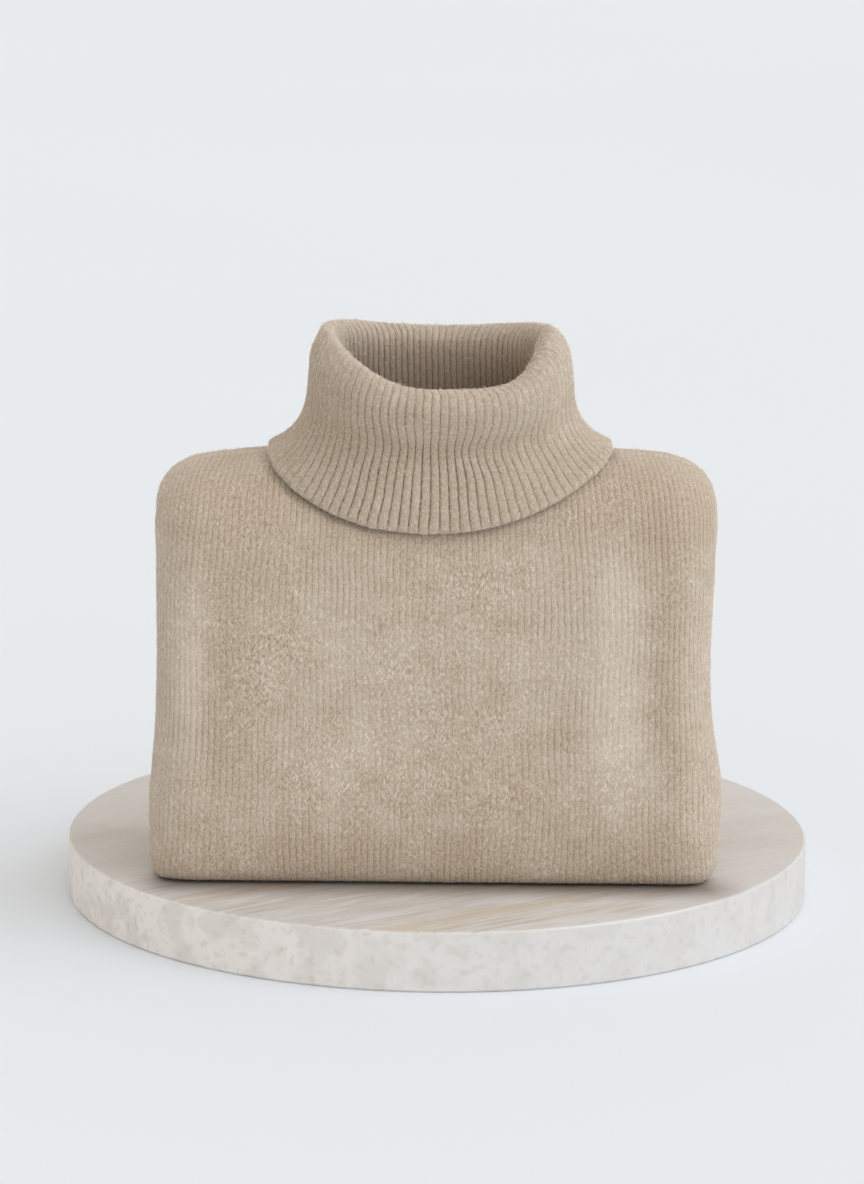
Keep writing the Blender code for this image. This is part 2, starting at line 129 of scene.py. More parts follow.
def honed_marble():
    """Honed marble: close grain, matt, with long veins on the bedding and fine pits."""
    material, tree, shader = new_material("honed_marble", 0.5, 1.5)
    maths = sums(tree)
    place = add_node(tree, "TexCoord").outputs["Object"]
    across, depth, height = add_node(tree, "SeparateXYZ", ((0, place),)).outputs
    on_top = ramped(tree, height, STONE_TOP - STONE_EDGE, STONE_TOP - 0.2 * STONE_EDGE)
    # the streaks fade towards both sides of the disc, where the stone is greyer
    streaky = maths("MULTIPLY", ramped(tree, across, -0.19, -0.11, 0.15, 1.0),
                    ramped(tree, across, 0.09, 0.17, 1.0, 0.2))
    cloud = grain(tree, place, (0.14, 0.07, 0.06), 0.3, 3.0, (0.5, 0.1, 0))

    def streaked(under, lumps, shown, colour):
        """A colour with long streaks of another over it."""
        share = maths("MULTIPLY", ramped(tree, grain(tree, place, *lumps), *shown), streaky)
        return mixed(tree, share, under, linear(colour))

    top = mixed(tree, ramped(tree, cloud, 0.45, 0.70, 0.0, 0.7), linear(STONE_PALE), linear(STONE_GREY))
    top = streaked(streaked(top, *VEINS), *WISPS)
    top = mixed(tree, ramped(tree, streaky, 0.15, 1.0, 0.40, 0.0), top, linear(STONE_GREY))
    top = streaked(top, *THREADS)
    blots = grain(tree, place, (0.020, 0.020, 0.018), 0.0, 9.0, (0.1, 0.7, 0.2), 0.3)
    flecks = grain(tree, place, (0.0048, 0.0048, 0.0048), 0.0, 7.0)
    # painted light on the left of the side, painted shade on its right
    side = mixed(tree, ramped(tree, across, -0.19, 0.12), linear(STONE_SIDE_PAINTED_LIGHT), linear(STONE_SIDE_PAINTED_SHADE))
    side = mixed(tree, ramped(tree, blots, 0.44, 0.61, 0.0, 0.42), side, linear(STONE_BLOT))
    side = mixed(tree, ramped(tree, flecks, 0.52, 0.66, 0.0, 0.27), side, linear(STONE_FLECK))
    # the stone right before the fold takes a warm shade from the wool above it
    beside = maths("MAXIMUM", maths("SUBTRACT", maths("ABSOLUTE", across), WOOL_HALF_X), 0.0)
    before = maths("MAXIMUM", maths("SUBTRACT", WOOL_FRONT_Y, depth), 0.0)
    away = maths("SQRT", maths("ADD", maths("POWER", beside, 2.0), maths("POWER", before, 2.0)))
    shaded = maths("MULTIPLY", ramped(tree, away, -0.004, WOOL_SHADE_RUN, 0.64, 0.0),
                    ramped(tree, depth, -0.115, -0.085, 1.0, 0.0))
    top = mixed(tree, shaded, top, linear(WOOL_SHADE))
    tree.links.new(mixed(tree, on_top, side, top), shader.inputs["Base Color"])
    tree.links.new(ramped(tree, flecks, 0.3, 0.7, 0.42, 0.58), shader.inputs["Roughness"])
    pits = grain(tree, place, (0.0012, 0.0012, 0.0012), 0.0, 3.0)
    bump = add_node(tree, "Bump", (("Strength", 0.25), ("Distance", 0.0001), ("Height", pits)))
    tree.links.new(bump.outputs[0], shader.inputs["Normal"])
    return material


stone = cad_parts["stone_plinth"]
stone.data.materials.clear()
stone.data.materials.append(honed_marble())


# ---------------------------------------------------------------- front panel
# The knitted front of the sweater, in soft brushed wool jersey. Folded, it covers the front face,
# turns round both side folds into the tuck, passes under the bundle and climbs the rear to the welt.
LIFT = 32.3                       # the cloth's floor above the ground
CLOTH = 3.0                       # thickness of the brushed jersey
WALE = 3.333                      # width of one column of stitches
PER_WALE = 4                      # points across a column of stitches
COURSE, REST_COURSE = 2.6, 9.0    # spacing of the points along a column, and where it rests flat
FLAT_X = 90.0                     # half of the face that stays flat across
FLAT_COLUMNS, SIDE_COLUMNS = 108, 148
INNER_ROW, INNER_COLUMN = 4, 8    # rows and columns outside to one row and column inside
FOLD_X, FOLD_TURN, TUCK_RUN = 29.0, 165.0, 8.5  # a side fold's width and turn, its run into the groove
FLAT_STEPS, TURN_STEPS, TUCK_STEPS = 24, 71, 4  # points on each stretch of a side fold
SLOT_Y, SLOT_LOW, SLOT_HIGH, SLOT_HALF = -58.5, 34.0, 172.0, 4.5  # the groove's depth, ends, half width
NECK_X, NECK_Y, NECK_HALF_X, NECK_HALF_Y = -0.6, -61.5, 60.8, 46.2  # the neck hole's middle and half sizes
SHOULDER_TILT = 0.006             # how the shoulders rise towards the wearer's left
CHEST, SHOULDER_RUN = 140.0, 80.0  # where the shoulders' drop sets in, and over what height
FRONT_FACE = -90.0                # before this depth the cloth is the front's face
NECK_BEND = 70.0                  # how far down the cloth the neck hole bends the stitches
GATHER, GATHER_RUN = 0.075, 95.0  # how much the shoulders draw the stitches in, and over what length
RIDGE, HEM_LOW, HEM_HIGH = 221.8, 114.0, 165.0  # heights of the shoulders' ridge and the welt's edges
FRONT_LINE = (
    # depth, height
    (-62, RIDGE), (-80, 220.9), (-95, 215.5), (-106, 205.4), (-112, 191.8), (-116, 170),
    (-118.5, 140), (-120, 100), (-121, 60), (-120.5, 32), (-119, 14.5), (-115.5, 3.9),
    (-108.5, 0.5), (-99, 0), (-80, 0), (-58, 0), (-36, 0), (-14, 0), (-4.5, 4.5),
    (1, 15), (3.5, 32), (4.5, 60), (4.2, 88), (3.2, HEM_LOW),
)
SIDE_REACH = (
    # height, half width on the wearer's right, on the wearer's left
    (0, 150.3, 146.8), (38, 151.8, 148.8), (58, 150, 147.6), (80, 148.4, 143.6),
    (105, 147.6, 141.4), (145, 146.9, 141.8), (170, 147.6, 142.8), (205, 148, 143.4),
    (224, 148.2, 143.6),
)
LOW_CORNER, LOW_RISE = (1.1, 0.3), 16.0  # how late the low folds rise to the tuck, right and left
SIDE_CORNER = (
    # height, power of the rounding: lower is squarer
    (0, 0.38), (20, 0.6), (45, 0.95), (70, 1), (180, 1), (224, 0.9),
)
SHOULDER_DROP = (
    # across, drop
    (0, 0), (60, 0.6), (85, 1.4), (100, 2.2), (112, 3.3), (124, 5), (150, 6.4),
)
FRONT_CREASES = (
    # across, height, half width, half length, lean, lift
    (110, 116, 13, 68, 0.03, -1.5), (78, 112, 17, 66, 0.05, 1.1),
    (-119, 112, 10, 48, -0.06, -1.7), (-92, 100, 16, 60, -0.1, 0.9),
    (20, 46, 16, 70, 1.5, 0.9), (-40, 84, 14, 60, 1.38, -0.6),
    (62, 90, 12, 42, 1.25, -0.6), (-62, 150, 15, 40, 0.55, -0.7),
    (70, 158, 13, 34, -0.5, -0.7), (8, 128, 22, 46, 0.2, 0.7),
    (-128, 52, 10, 26, 0.5, 0.8), (126, 50, 11, 28, -0.4, 0.9),
)
FRONT_NAP_AND_LIGHT = (
    # across, height, half width, half length, lean, how much the nap is brushed up: it pales the wool,
    #     # and on the creases' flanks and over the shoulders it is painted light and painted shade
    (91, 122, 15, 66, 0.03, 0.85), (-130, 112, 8, 42, -0.04, 0.74),
    (-46, 128, 20, 48, 0.25, 0.22), (60, 128, 15, 50, 0, 0.15),
    (-106, 130, 14, 80, -0.04, -0.45), (117, 122, 9, 60, 0.04, -0.35),
    (-82, 150, 12, 40, 0.1, -0.25), (0, 14, 200, 16, 0, -0.35),
    (0, 204, 220, 22, 0, -0.4), (0, 172, 50, 16, 0, -0.22),
    (18, 70, 34, 30, 0, -0.15), (114, 194, 28, 24, 0, -0.35),
    (-84, 112, 16, 22, 0, -0.22),
)
FRONT_WORN_AND_SHADE = (
    # across, height, half width, half length, lean, how much the grooves are opened; on the wearer's left
    # shoulder they are opened as painted shade
    (-8, 84, 62, 62, 0.15, -0.42), (-96, 132, 22, 30, 0, -0.3),
    (112, 110, 30, 66, 0, -0.05), (114, 194, 28, 22, 0, 0.3),
    (91, 118, 15, 60, 0.03, -0.04), (-110, 196, 30, 22, 0, -0.05),
    (76, 166, 24, 34, 0, 0.17),
)
REAR_CREASES = (
    # across, height, half width, half length, lean, lift
    (-98, 62, 13, 46, 0.16, -1.2), (-60, 70, 18, 50, 0.05, 0.8),
    (12, 58, 15, 60, 1.45, 0.8), (88, 66, 12, 44, -0.12, -1.3),
    (54, 82, 16, 34, 0.8, -0.7), (-20, 92, 12, 30, 1.2, -0.6),
)


def through(points, steps):
    """Smooth curve through points, or surface through rings, with so many steps from each to the next."""
    points = [2 * points[0] - points[1]] + points + [2 * points[-1] - points[-2]]
    dense = []
    for a, b, c, d in zip(points, points[1:], points[2:], points[3:]):
        for t in np.arange(steps) / steps:
            dense.append(0.5 * (2 * b + (c - a) * t + (2 * a - 5 * b + 4 * c - d) * t ** 2
                                + (3 * b - a - 3 * c + d) * t ** 3))
    return np.array(dense + [points[-2]])


def smooth_line(table):
    """Smooth line through a table of points, kept above the floor."""
    line = through([np.array(point, dtype=float) for point in table], 16)
    line[:, 1] = np.maximum(line[:, 1], 0.0)
    return line


def lengths(line):
    """Length run along a line up to each of its points."""
    return np.concatenate([[0.0], np.cumsum(np.linalg.norm(np.diff(line, axis=0), axis=1))])


def read(table, key, place=1):
    """A table's column at a key, with straight runs between its rows."""
    return np.interp(key, [row[0] for row in table], [row[place] for row in table])


def risen(value, start, reach):
    """0 up to a start and 1 past a reach beyond it, or before it where the reach is negative."""
    return np.clip((value - start) / reach, 0.0, 1.0)


def eased(share):
    """A share from 0 to 1 with a soft start and end."""
    return share * share * (3 - 2 * share)


def peak(place, middle, reach, power=2):
    """A soft hump: 1 in its middle, gone well past its reach, flatter with a higher power."""
    return np.exp(-((place - middle) / reach) ** power)


def shoulder_drop(x, z):
    """How far the outer face drops to the sides: nothing up to the chest, all of it at the ridge."""
    return (read(SHOULDER_DROP, abs(x)) - SHOULDER_TILT * x) * risen(z, CHEST, SHOULDER_RUN) ** 2


REACH = [smooth_line([(row[0], row[k]) for row in SIDE_REACH]) for k in (1, 2)]


def reach_at(z, side):
    """Half width of the bundle at a height, on the wearer's right (side -1) or left (1)."""
    line = REACH[(side + 1) // 2]
    return np.interp(z, line[:, 0], line[:, 1])


def side_path(y, z, side, start):
    """Outer face from a place on the flat front or rear, round the side fold and into the tuck."""
    reach = reach_at(z, side)
    x = side * np.linspace(start, reach - FOLD_X, FLAT_STEPS)
    flat = np.stack([x, np.full(FLAT_STEPS, y), z - shoulder_drop(x, z)], axis=1)
    turn = np.radians(np.linspace(0.0, FOLD_TURN, TURN_STEPS + 1)[1:])
    round_x = np.sin(turn)
    round_x[turn < math.pi / 2] **= read(SIDE_CORNER, z)
    run = np.append(np.zeros(TURN_STEPS), np.linspace(0, TUCK_RUN, TUCK_STEPS + 1)[1:])
    turn = np.append(turn, [turn[-1]] * TUCK_STEPS)
    round_x = np.append(round_x, [round_x[-1]] * TUCK_STEPS)
    x = side * (reach - FOLD_X + FOLD_X * round_x - run)
    way = np.array([SLOT_Y, np.clip(z, SLOT_LOW, SLOT_HIGH)]) - np.array([y, z])
    far = np.linalg.norm(way)
    part = (1 - np.cos(turn)) / (1 - math.cos(math.radians(FOLD_TURN)))
    late = 1.0 + LOW_CORNER[(side + 1) // 2] * risen(z, SLOT_LOW, -LOW_RISE)
    spot = np.array([y, z]) + (far - SLOT_HALF) * np.stack([part, part ** late], axis=1) * way / far
    spot[:, 1] -= shoulder_drop(x, z) * (1 - part)
    return np.concatenate([flat, np.column_stack([x, spot])])


def along(path, places):
    """Points of a path at given lengths along it."""
    run = lengths(path)
    return np.stack([np.interp(places, run, axis) for axis in path.T], axis=-1)


def even(path, count):
    """A path's points at equal lengths, its first one left out."""
    return along(path, np.linspace(0.0, lengths(path)[-1], count + 1)[1:])


def near_part(line, sign):
    """A panel's line on its own side of the ridge: the front's (sign -1) comes back behind."""
    return line[:len(line) * 2 // 5] if sign < 0 else line


def neck_start(line, x, sign):
    """Length along a panel's line at which the neck hole ends, for each place across."""
    inside = np.clip(1.0 - (x / NECK_HALF_X) ** 2, 0.0, 1.0)
    edge = NECK_Y + sign * NECK_HALF_Y * np.sqrt(inside)
    near = near_part(line, sign)
    found = np.interp(edge * sign, near[:, 0] * sign, lengths(near))
    return np.where(inside > 0, found, 0.0)


def panel_form(line, rows, sign):
    """Outer face of a panel as a grid: each row of stitches lies across the bundle, tuck to tuck."""
    across = np.linspace(0.0, FLAT_X, FLAT_COLUMNS + 1)
    across = np.concatenate([-across[:0:-1], across])
    start = neck_start(line, across * (1 - GATHER), sign)
    grid = []
    for s in rows:
        narrow = 1.0 - GATHER * eased(risen(s, GATHER_RUN, -GATHER_RUN))
        x = across * narrow
        y, z = along(line, np.where(s < NECK_BEND, start + (NECK_BEND - start) * s / NECK_BEND, s)).T
        flat = np.stack([x, y, z - shoulder_drop(x, z)], axis=1)
        right, left = (side_path(*along(line, s), side, FLAT_X * narrow) for side in (-1, 1))
        right, left = even(right, SIDE_COLUMNS), even(left, SIDE_COLUMNS)
        grid.append(np.concatenate([right[::-1], flat, left]))
    return np.array(grid)


def row_places(line):
    """Lengths along a line for the rows of points; those that rest flat underneath are sparse."""
    run = lengths(line)
    rests = (line[:, 1] < 0.05) & (line[:, 0] > -100.0) & (line[:, 0] < -17.0)
    dense = np.concatenate([[0.0], np.cumsum(np.diff(run) / np.where(rests, REST_COURSE, COURSE)[1:])])
    count = INNER_ROW * math.ceil(dense[-1] / INNER_ROW)
    return np.interp(np.linspace(0, dense[-1], count + 1), dense, run)


def facing_of(grid, closed=False):
    """Unit normals of a grid of points, away from the middle of the bundle."""
    down = np.gradient(grid, axis=0)
    over = np.gradient(grid, axis=1)
    if closed:
        over = (np.roll(grid, -1, axis=1) - np.roll(grid, 1, axis=1)) / 2
    out = np.cross(down, over)
    out /= np.maximum(np.linalg.norm(out, axis=2, keepdims=True), 1e-9)
    r, c = grid.shape[0] // 2, grid.shape[1] // 2
    away = grid[r, c] - np.array([0.0, SLOT_Y, 100.0])
    return out if np.dot(out[r, c], away) > 0 else -out


def wander(u, v, size, seed):
    """Smooth noise from about -1 to 1 over the flat cloth, with lumps of a given size."""
    u, v = np.broadcast_arrays(u, v)
    found = [noise.noise((a / size, b / size, seed)) for a, b in zip(u.ravel().tolist(), v.ravel().tolist())]
    return np.array(found).reshape(u.shape) * 1.6


def relax(grid, weight, passes):
    """Softens a grid's creases where its weight says so."""
    for _ in range(passes):
        around = (grid[:-2, 1:-1] + grid[2:, 1:-1] + grid[1:-1, :-2] + grid[1:-1, 2:]) / 4
        grid[1:-1, 1:-1] += (around - grid[1:-1, 1:-1]) * weight[1:-1, 1:-1, None]
    return grid


def crease(dx, dy, wide, long, lean, lift):
    """Height of one soft ridge or trough at an offset from its middle; it leans over by an angle."""
    over = (dx * math.cos(lean) + dy * math.sin(lean)) / wide
    length = (dy * math.cos(lean) - dx * math.sin(lean)) / long
    return lift * np.exp(-over ** 2 - length ** 4)


def creased(grid, facing, creases, sign):
    """Soft ridges and troughs on a front (sign -1) or rear (sign 1) face."""
    x, z = grid[..., 0], grid[..., 2]
    lift = sum(crease(x - across, z - height, *shape) for across, height, *shape in creases)
    return lift * np.clip(facing[..., 1] * sign, 0.0, 1.0)


def wavering(u, v, seed):
    """Places on the cut cloth, with the columns of stitches drawn a little to and fro."""
    u, v = np.broadcast_arrays(u, v)
    return np.stack([u + 1.1 * wander(u, v, 48.0, seed) + 0.3 * wander(u, v, 15.0, seed + 1.0), v], axis=-1)


def jersey_relief(flat, opened, seed):
    """Rounded columns of stitches, as deep as their grooves are open, over slow unevenness."""
    u, v = flat[..., 0], flat[..., 1]
    column = 1.0 - abs(np.cos(np.pi * u / WALE)) ** 2.5
    return (column - 0.6) * (0.08 + 0.44 * opened) + 0.14 * wander(u, v, 6.0, seed + 3.0) \
        + 0.42 * wander(u, v, 30.0, seed + 7.0)


def jersey_marks(flat, seed, worn=0.0, brushed=0.0):
    """How open the grooves are (brushing wears them shut) and how far the nap is brushed up."""
    u, v = flat[..., 0], flat[..., 1]
    groove = 0.55 + 0.36 * wander(u, v, 36.0, seed) + 0.24 * wander(u, v, 8.0, seed + 1.0) + worn
    nap = 0.34 + 0.18 * wander(u, v, 32.0, seed + 2.0) + 0.24 * wander(u, v, 12.0, seed + 4.0) + brushed
    return {"groove": np.clip(groove, 0.0, 1.0), "nap": np.clip(nap, 0.0, 1.0)}


BAKE_EDGE, BAKE_WIDTH = 0.004, 0.992
BAKE_OUTER, BAKE_INNER = (0.07, 0.926), (0.004, 0.05)  # where each face starts on the map, and its height


def linked(name, mesh):
    """A new object with a mesh, in the scene."""
    piece = bpy.data.objects.new(name, mesh)
    bpy.context.scene.collection.objects.link(piece)
    return piece


def smoothed(piece, degrees):
    """Shades a piece smooth, but for edges sharper than an angle."""
    bpy.context.view_layer.objects.active = piece
    piece.select_set(True)
    bpy.ops.object.shade_smooth_by_angle(angle=math.radians(degrees))
    piece.select_set(False)


def cloth_shell(name, outer, inner, flat, marks, material, closed=False):
    """A thin closed solid: a fine outer grid, a coarser inner one and the edges between, with two maps.

    flat gives each outer point's place on the cut cloth; marks are named values at the outer points.
    closed joins the last column to the first. The map OFBake holds the outer face above a strip for
    the inner one."""
    rows, wide = outer.shape[:2]
    inner_rows, slim = inner.shape[:2]
    points = np.concatenate([outer.reshape(-1, 3), inner.reshape(-1, 3)])
    points[:, 2] += LIFT
    spans, narrow = (wide, slim) if closed else (wide - 1, slim - 1)

    def corner(r, c, fine):
        """Point number, and place on each map, of a grid's corner."""
        number = r * wide + c % wide if fine else rows * wide + r * slim + c % slim
        share_r, share_c = (r / (rows - 1), c / spans) if fine else (r / (inner_rows - 1), c / narrow)
        start, high = BAKE_OUTER if fine else BAKE_INNER
        bake = np.broadcast_arrays(BAKE_EDGE + BAKE_WIDTH * share_c, start + high * share_r)
        step_r, step_c = (1, 1) if fine else (INNER_ROW, INNER_COLUMN)
        return number, flat[np.minimum(r * step_r, rows - 1), c * step_c], np.stack(bake, axis=-1)

    def strip(corners):
        """Faces from lists of (row, column, fine) arrays, as numbers and map places."""
        found = [corner(*c) for c in corners]
        return [np.stack([f[k] for f in found], axis=1) for k in range(3)]

    def edge(count, step, at_fine, at_coarse, upright):
        """Faces from an edge of the fine grid to that of the coarse one, along a row or a column."""
        def spot(number, fine):
            fixed = np.full(count, at_fine if fine else at_coarse)
            return (number, fixed, fine) if upright else (fixed, number, fine)

        j = np.arange(count)
        fans = [[spot(j, False), spot(j * step + k, True), spot(j * step + k + 1, True)] for k in range(step)]
        fans.append([spot(j, False), spot((j + 1) * step, True), spot(j + 1, False)])
        return [strip(fan) for fan in fans]

    r, c = (a.ravel() for a in np.meshgrid(np.arange(rows - 1), np.arange(spans), indexing="ij"))
    parts = [strip([(r, c, True), (r, c + 1, True), (r + 1, c + 1, True), (r + 1, c, True)])]
    r, c = (a.ravel() for a in np.meshgrid(np.arange(inner_rows - 1), np.arange(narrow), indexing="ij"))
    parts.append(strip([(r, c, False), (r + 1, c, False), (r + 1, c + 1, False), (r, c + 1, False)]))
    for at_fine, at_coarse in ((0, 0), (rows - 1, inner_rows - 1)):
        parts += edge(narrow, INNER_COLUMN, at_fine, at_coarse, False)
    if not closed:
        for at_fine, at_coarse in ((0, 0), (wide - 1, slim - 1)):
            parts += edge(inner_rows - 1, INNER_ROW, at_fine, at_coarse, True)
    numbers, places, bakes = ([part[k] for part in parts] for k in range(3))
    mesh = bpy.data.meshes.new(name)
    mesh.from_pydata((points * MM).tolist(), [], [face for part in numbers for face in part.tolist()])
    for title, part, scale in (("cloth", places, MM), ("OFBake", bakes, 1.0)):
        layer = mesh.uv_layers.new(name=title)
        spread = np.concatenate([p.reshape(-1, 2) for p in part]) * scale
        layer.data.foreach_set("uv", spread.astype(np.float32).ravel())
    for title, values in marks.items():
        layer = mesh.attributes.new(name=title, type="FLOAT", domain="POINT")
        values = np.concatenate([np.broadcast_to(values, (rows, wide)).ravel(), np.zeros(inner_rows * slim)])
        layer.data.foreach_set("value", values.astype(np.float32))
    work = bmesh.new()
    work.from_mesh(mesh)
    bmesh.ops.recalc_face_normals(work, faces=work.faces)
    work.to_mesh(mesh)
    work.free()
    mesh.materials.append(material)
    piece = linked(name, mesh)
    smoothed(piece, 75.0)
    return piece


# painted shade: the colour the knit is painted towards deep inside the collar, under edges and at the fold's
# foot
PAINTED_SHADE = "#33271e"               # what the knit darkens to, deep inside the collar and under edges


def knit(name, pitch, colours, groove, chevron, fleck, felt=0.0):
    """Wool knit in columns of a given pitch, read from the maps and marks that the cloth carries.

    colours: groove shade, deep yarn, yarn, raised fibre; groove: its width as a share of the pitch and how
    dark its painted shade is; chevron: how much the V of each stitch shows; fleck: how much loose fibre
    shows; felt: how much more of it shows where wear has shut the grooves. Painted shade also darkens
    the knit where the cloth is marked deep."""
    material, tree, shader = new_material(name, 0.95, 1.5)
    dark, deep, yarn, light = (linear(code) for code in colours)
    flat = add_node(tree, "UVMap", uv_map="cloth").outputs[0]
    point = add_node(tree, "Mapping", (("Vector", flat), ("Scale", (1000, 1000, 1000)))).outputs[0]
    u, v, _ = add_node(tree, "SeparateXYZ", ((0, point),)).outputs
    opened, nap, shade_share = (add_node(tree, "Attribute", attribute_name=mark).outputs["Fac"]
                            for mark in ("groove", "nap", "deep"))
    maths = sums(tree)
    # 1 at the middle of a groove, 0 on the column of stitches; the fibre closes the groove in dots
    share = maths("FRACT", maths("DIVIDE", u, pitch))
    edge = maths("MULTIPLY", maths("ABSOLUTE", maths("SUBTRACT", share, 0.5)), 2.0)
    uneven = grain(tree, point, (1.5, 2.4, 1.0), 0.0, 3.0, (7, 3, 0))
    edge_shaken = maths("ADD", edge, maths("MULTIPLY", maths("SUBTRACT", uneven, 0.5), 1.3 * groove[0]))
    trough = ramped(tree, edge_shaken, 1.0 - groove[0], 1.0)
    dots = ramped(tree, grain(tree, point, (1.7, 2.3, 1.0), 0.0, 2.0, (1, 8, 0)), 0.36, 0.56, 0.30, 1.0)
    veiled = maths("MULTIPLY_ADD", nap, -0.3 * felt, 1.0 + 0.1 * felt)
    # painted shade in the grooves, darker where they are open and bare of nap
    groove_shade = maths("MULTIPLY", maths("MULTIPLY", trough, dots), maths("MULTIPLY", opened, groove[1]))
    groove_shade = maths("MULTIPLY", groove_shade, veiled)
    # loose fibre: short light curls that lean either way along the columns, and the pits between them
    left = grain(tree, point, (1.1, 2.9, 1.0), 0.45, 2.0, (3, 5, 0), 0.6)
    right = grain(tree, point, (1.1, 2.9, 1.0), -0.42, 2.0, (11, 2, 0), 0.6)
    curls = ramped(tree, maths("MAXIMUM", left, right), 0.54, 0.68)
    pits = ramped(tree, maths("MINIMUM", left, right), 0.45, 0.32)
    fuzz = ramped(tree, grain(tree, point, (0.9, 1.3, 1.0), 0.0, 2.0, (5, 5, 0)), 0.34, 0.66)
    # the V of the stitches, slanted down towards the middle of each column
    slant = maths("ADD", maths("DIVIDE", v, 2.6), maths("MULTIPLY", edge, -0.55))
    stitch = maths("MULTIPLY", maths("SINE", maths("MULTIPLY", slant, 2 * math.pi)), chevron)
    colour = mixed(tree, fuzz, deep, yarn)
    felted = maths("MULTIPLY_ADD", opened, -fleck * felt, fleck * (0.5 + 0.7 * felt))
    pitted = maths("MULTIPLY", felted, maths("MULTIPLY_ADD", nap, -0.75, 1.25))
    colour = mixed(tree, maths("MULTIPLY", pits, pitted), colour, dark)
    curled = maths("MULTIPLY_ADD", nap, 0.5 - 0.2 * felt, maths("MULTIPLY", felted, 0.75 + 0.2 * felt))
    colour = mixed(tree, maths("MULTIPLY", curls, curled), colour, light)
    colour = mixed(tree, maths("MULTIPLY", nap, 0.30 + 0.06 * felt), colour, light)
    colour = mixed(tree, groove_shade, colour, dark)
    # painted shade where the cloth is marked deep
    shade_share = maths("MULTIPLY", shade_share, ramped(tree, fuzz, 0.0, 1.0, 1.0, 0.7))
    colour = mixed(tree, shade_share, colour, linear(PAINTED_SHADE))
    tree.links.new(colour, shader.inputs["Base Color"])
    height = maths("ADD", maths("MULTIPLY", curls, 0.7), maths("MULTIPLY", trough, -0.5))
    height = maths("ADD", maths("SUBTRACT", height, maths("MULTIPLY", pits, 0.5)), stitch)
    height = maths("ADD", height, maths("MULTIPLY", fuzz, 0.35))
    bump = add_node(tree, "Bump", (("Strength", 0.55), ("Distance", 0.0003), ("Height", height)))
    tree.links.new(bump.outputs[0], shader.inputs["Normal"])
    shader.inputs["Sheen Weight"].default_value = 0.45
    shader.inputs["Sheen Roughness"].default_value = 0.5
    shader.inputs["Sheen Tint"].default_value = linear("#eae4da")
    return material


def loose_fibres(name, outer, facing, amount, count, standing, seed):
    """The loose fibres of a nap, as short curved spindles on a face, each one closed, joined in one mesh.

    amount: how thick the nap is at each point of the face; standing: the share that stands off it."""
    draw = np.random.default_rng(seed)
    amount = np.broadcast_to(amount, outer.shape[:2])
    down, over = outer[1:, :-1] - outer[:-1, :-1], outer[:-1, 1:] - outer[:-1, :-1]
    weight = (np.linalg.norm(np.cross(down, over), axis=2) * amount[:-1, :-1]).ravel()
    cell = np.unravel_index(draw.choice(weight.size, count, p=weight / weight.sum()), down.shape[:2])
    a, b = draw.random((2, count, 1))
    out, downward = facing[cell], down[cell] / np.linalg.norm(down[cell], axis=1)[:, None]
    across = np.cross(out, downward)
    spot = outer[cell] + down[cell] * a + over[cell] * b
    length = draw.uniform(1.6, 4.4, count)
    turn = draw.normal(0.0, 0.75, count) + math.pi * draw.integers(0, 2, count)
    curl = draw.uniform(-1.0, 1.0, count)
    stands = draw.random(count) < standing
    heights = np.where(stands, draw.uniform(0.6, 1.5, count), draw.uniform(0.10, 0.32, count))
    shape = np.where(stands[:, None], [[0.0, 0.35, 0.75, 1.0]], [[0.0, 0.9, 1.0, 0.3]])
    thick = draw.uniform(0.055, 0.105, count)[:, None]
    rings = []
    for k in range(4):
        if k:
            way = (turn + curl * (k - 1))[:, None]
            step = np.cos(way) * downward + np.sin(way) * across
            spot = spot + step * (length / 3)[:, None]
        middle = spot + out * (heights * shape[:, k] - 0.05)[:, None]
        if k in (0, 3):
            rings.append(middle[:, None, :])
            continue
        beside = np.cross(step, out)
        rings.append(np.stack([middle + thick * (math.cos(t) * out + math.sin(t) * beside)
                               for t in (0.0, 2.094, 4.189)], axis=1))
    points = np.concatenate(rings, axis=1).reshape(-1, 3)
    points[:, 2] = np.maximum(points[:, 2], -0.25) + LIFT
    first = (np.arange(count) * 8)[:, None]
    cells = math.ceil(math.sqrt(count))
    corner = np.stack([np.arange(count) % cells, np.arange(count) // cells], axis=1)[:, None, :]
    faces, bakes = [], []
    for k in range(3):
        n = (k + 1) % 3
        for numbers, places in (
                ((0, 1 + n, 1 + k), ((k + 0.5, 0.0), (k + 0.9, 1.0), (k, 1.0))),
                ((1 + k, 1 + n, 4 + n, 4 + k), ((k, 1.0), (k + 0.9, 1.0), (k + 0.9, 2.0), (k, 2.0))),
                ((7, 4 + k, 4 + n), ((k + 0.5, 3.0), (k, 2.0), (k + 0.9, 2.0)))):
            faces.append(first + np.array(numbers))
            bakes.append((corner + 0.05 + 0.3 * np.array(places)) / cells)
    mesh = bpy.data.meshes.new(name)
    mesh.from_pydata((points * MM).tolist(), [], [face for part in faces for face in part.tolist()])
    layer = mesh.uv_layers.new(name="OFBake")
    layer.data.foreach_set("uv", np.concatenate([b.reshape(-1, 2) for b in bakes]).astype(np.float32).ravel())
    mesh.materials.append(wool_fibre)
    return linked(name, mesh)


def loose_wool():
    """Loose wool fibre: paler than the yarn, each one a little different."""
    material, tree, shader = new_material("loose_wool_fibre", 0.8, 1.5)
    tone = grain(tree, add_node(tree, "TexCoord").outputs["Object"], (0.004, 0.004, 0.004), 0.0, 2.0)
    tint = mixed(tree, ramped(tree, tone, 0.35, 0.65), linear("#cdbfad"), linear("#f1e9dd"))
    tree.links.new(tint, shader.inputs["Base Color"])
    shader.inputs["Sheen Weight"].default_value = 0.3
    return material


def panel_inner(form, facing):
    """Inner face of a panel; round the neck hole its edge is upright."""
    inner = form - facing * CLOTH
    hole = abs(form[0, :, 0]) < NECK_HALF_X
    inner[0, hole] = form[0, hole]
    inner[0, hole, 2] -= CLOTH / np.maximum(0.42, facing[0, hole, 2])
    return inner[::INNER_ROW, ::INNER_COLUMN]


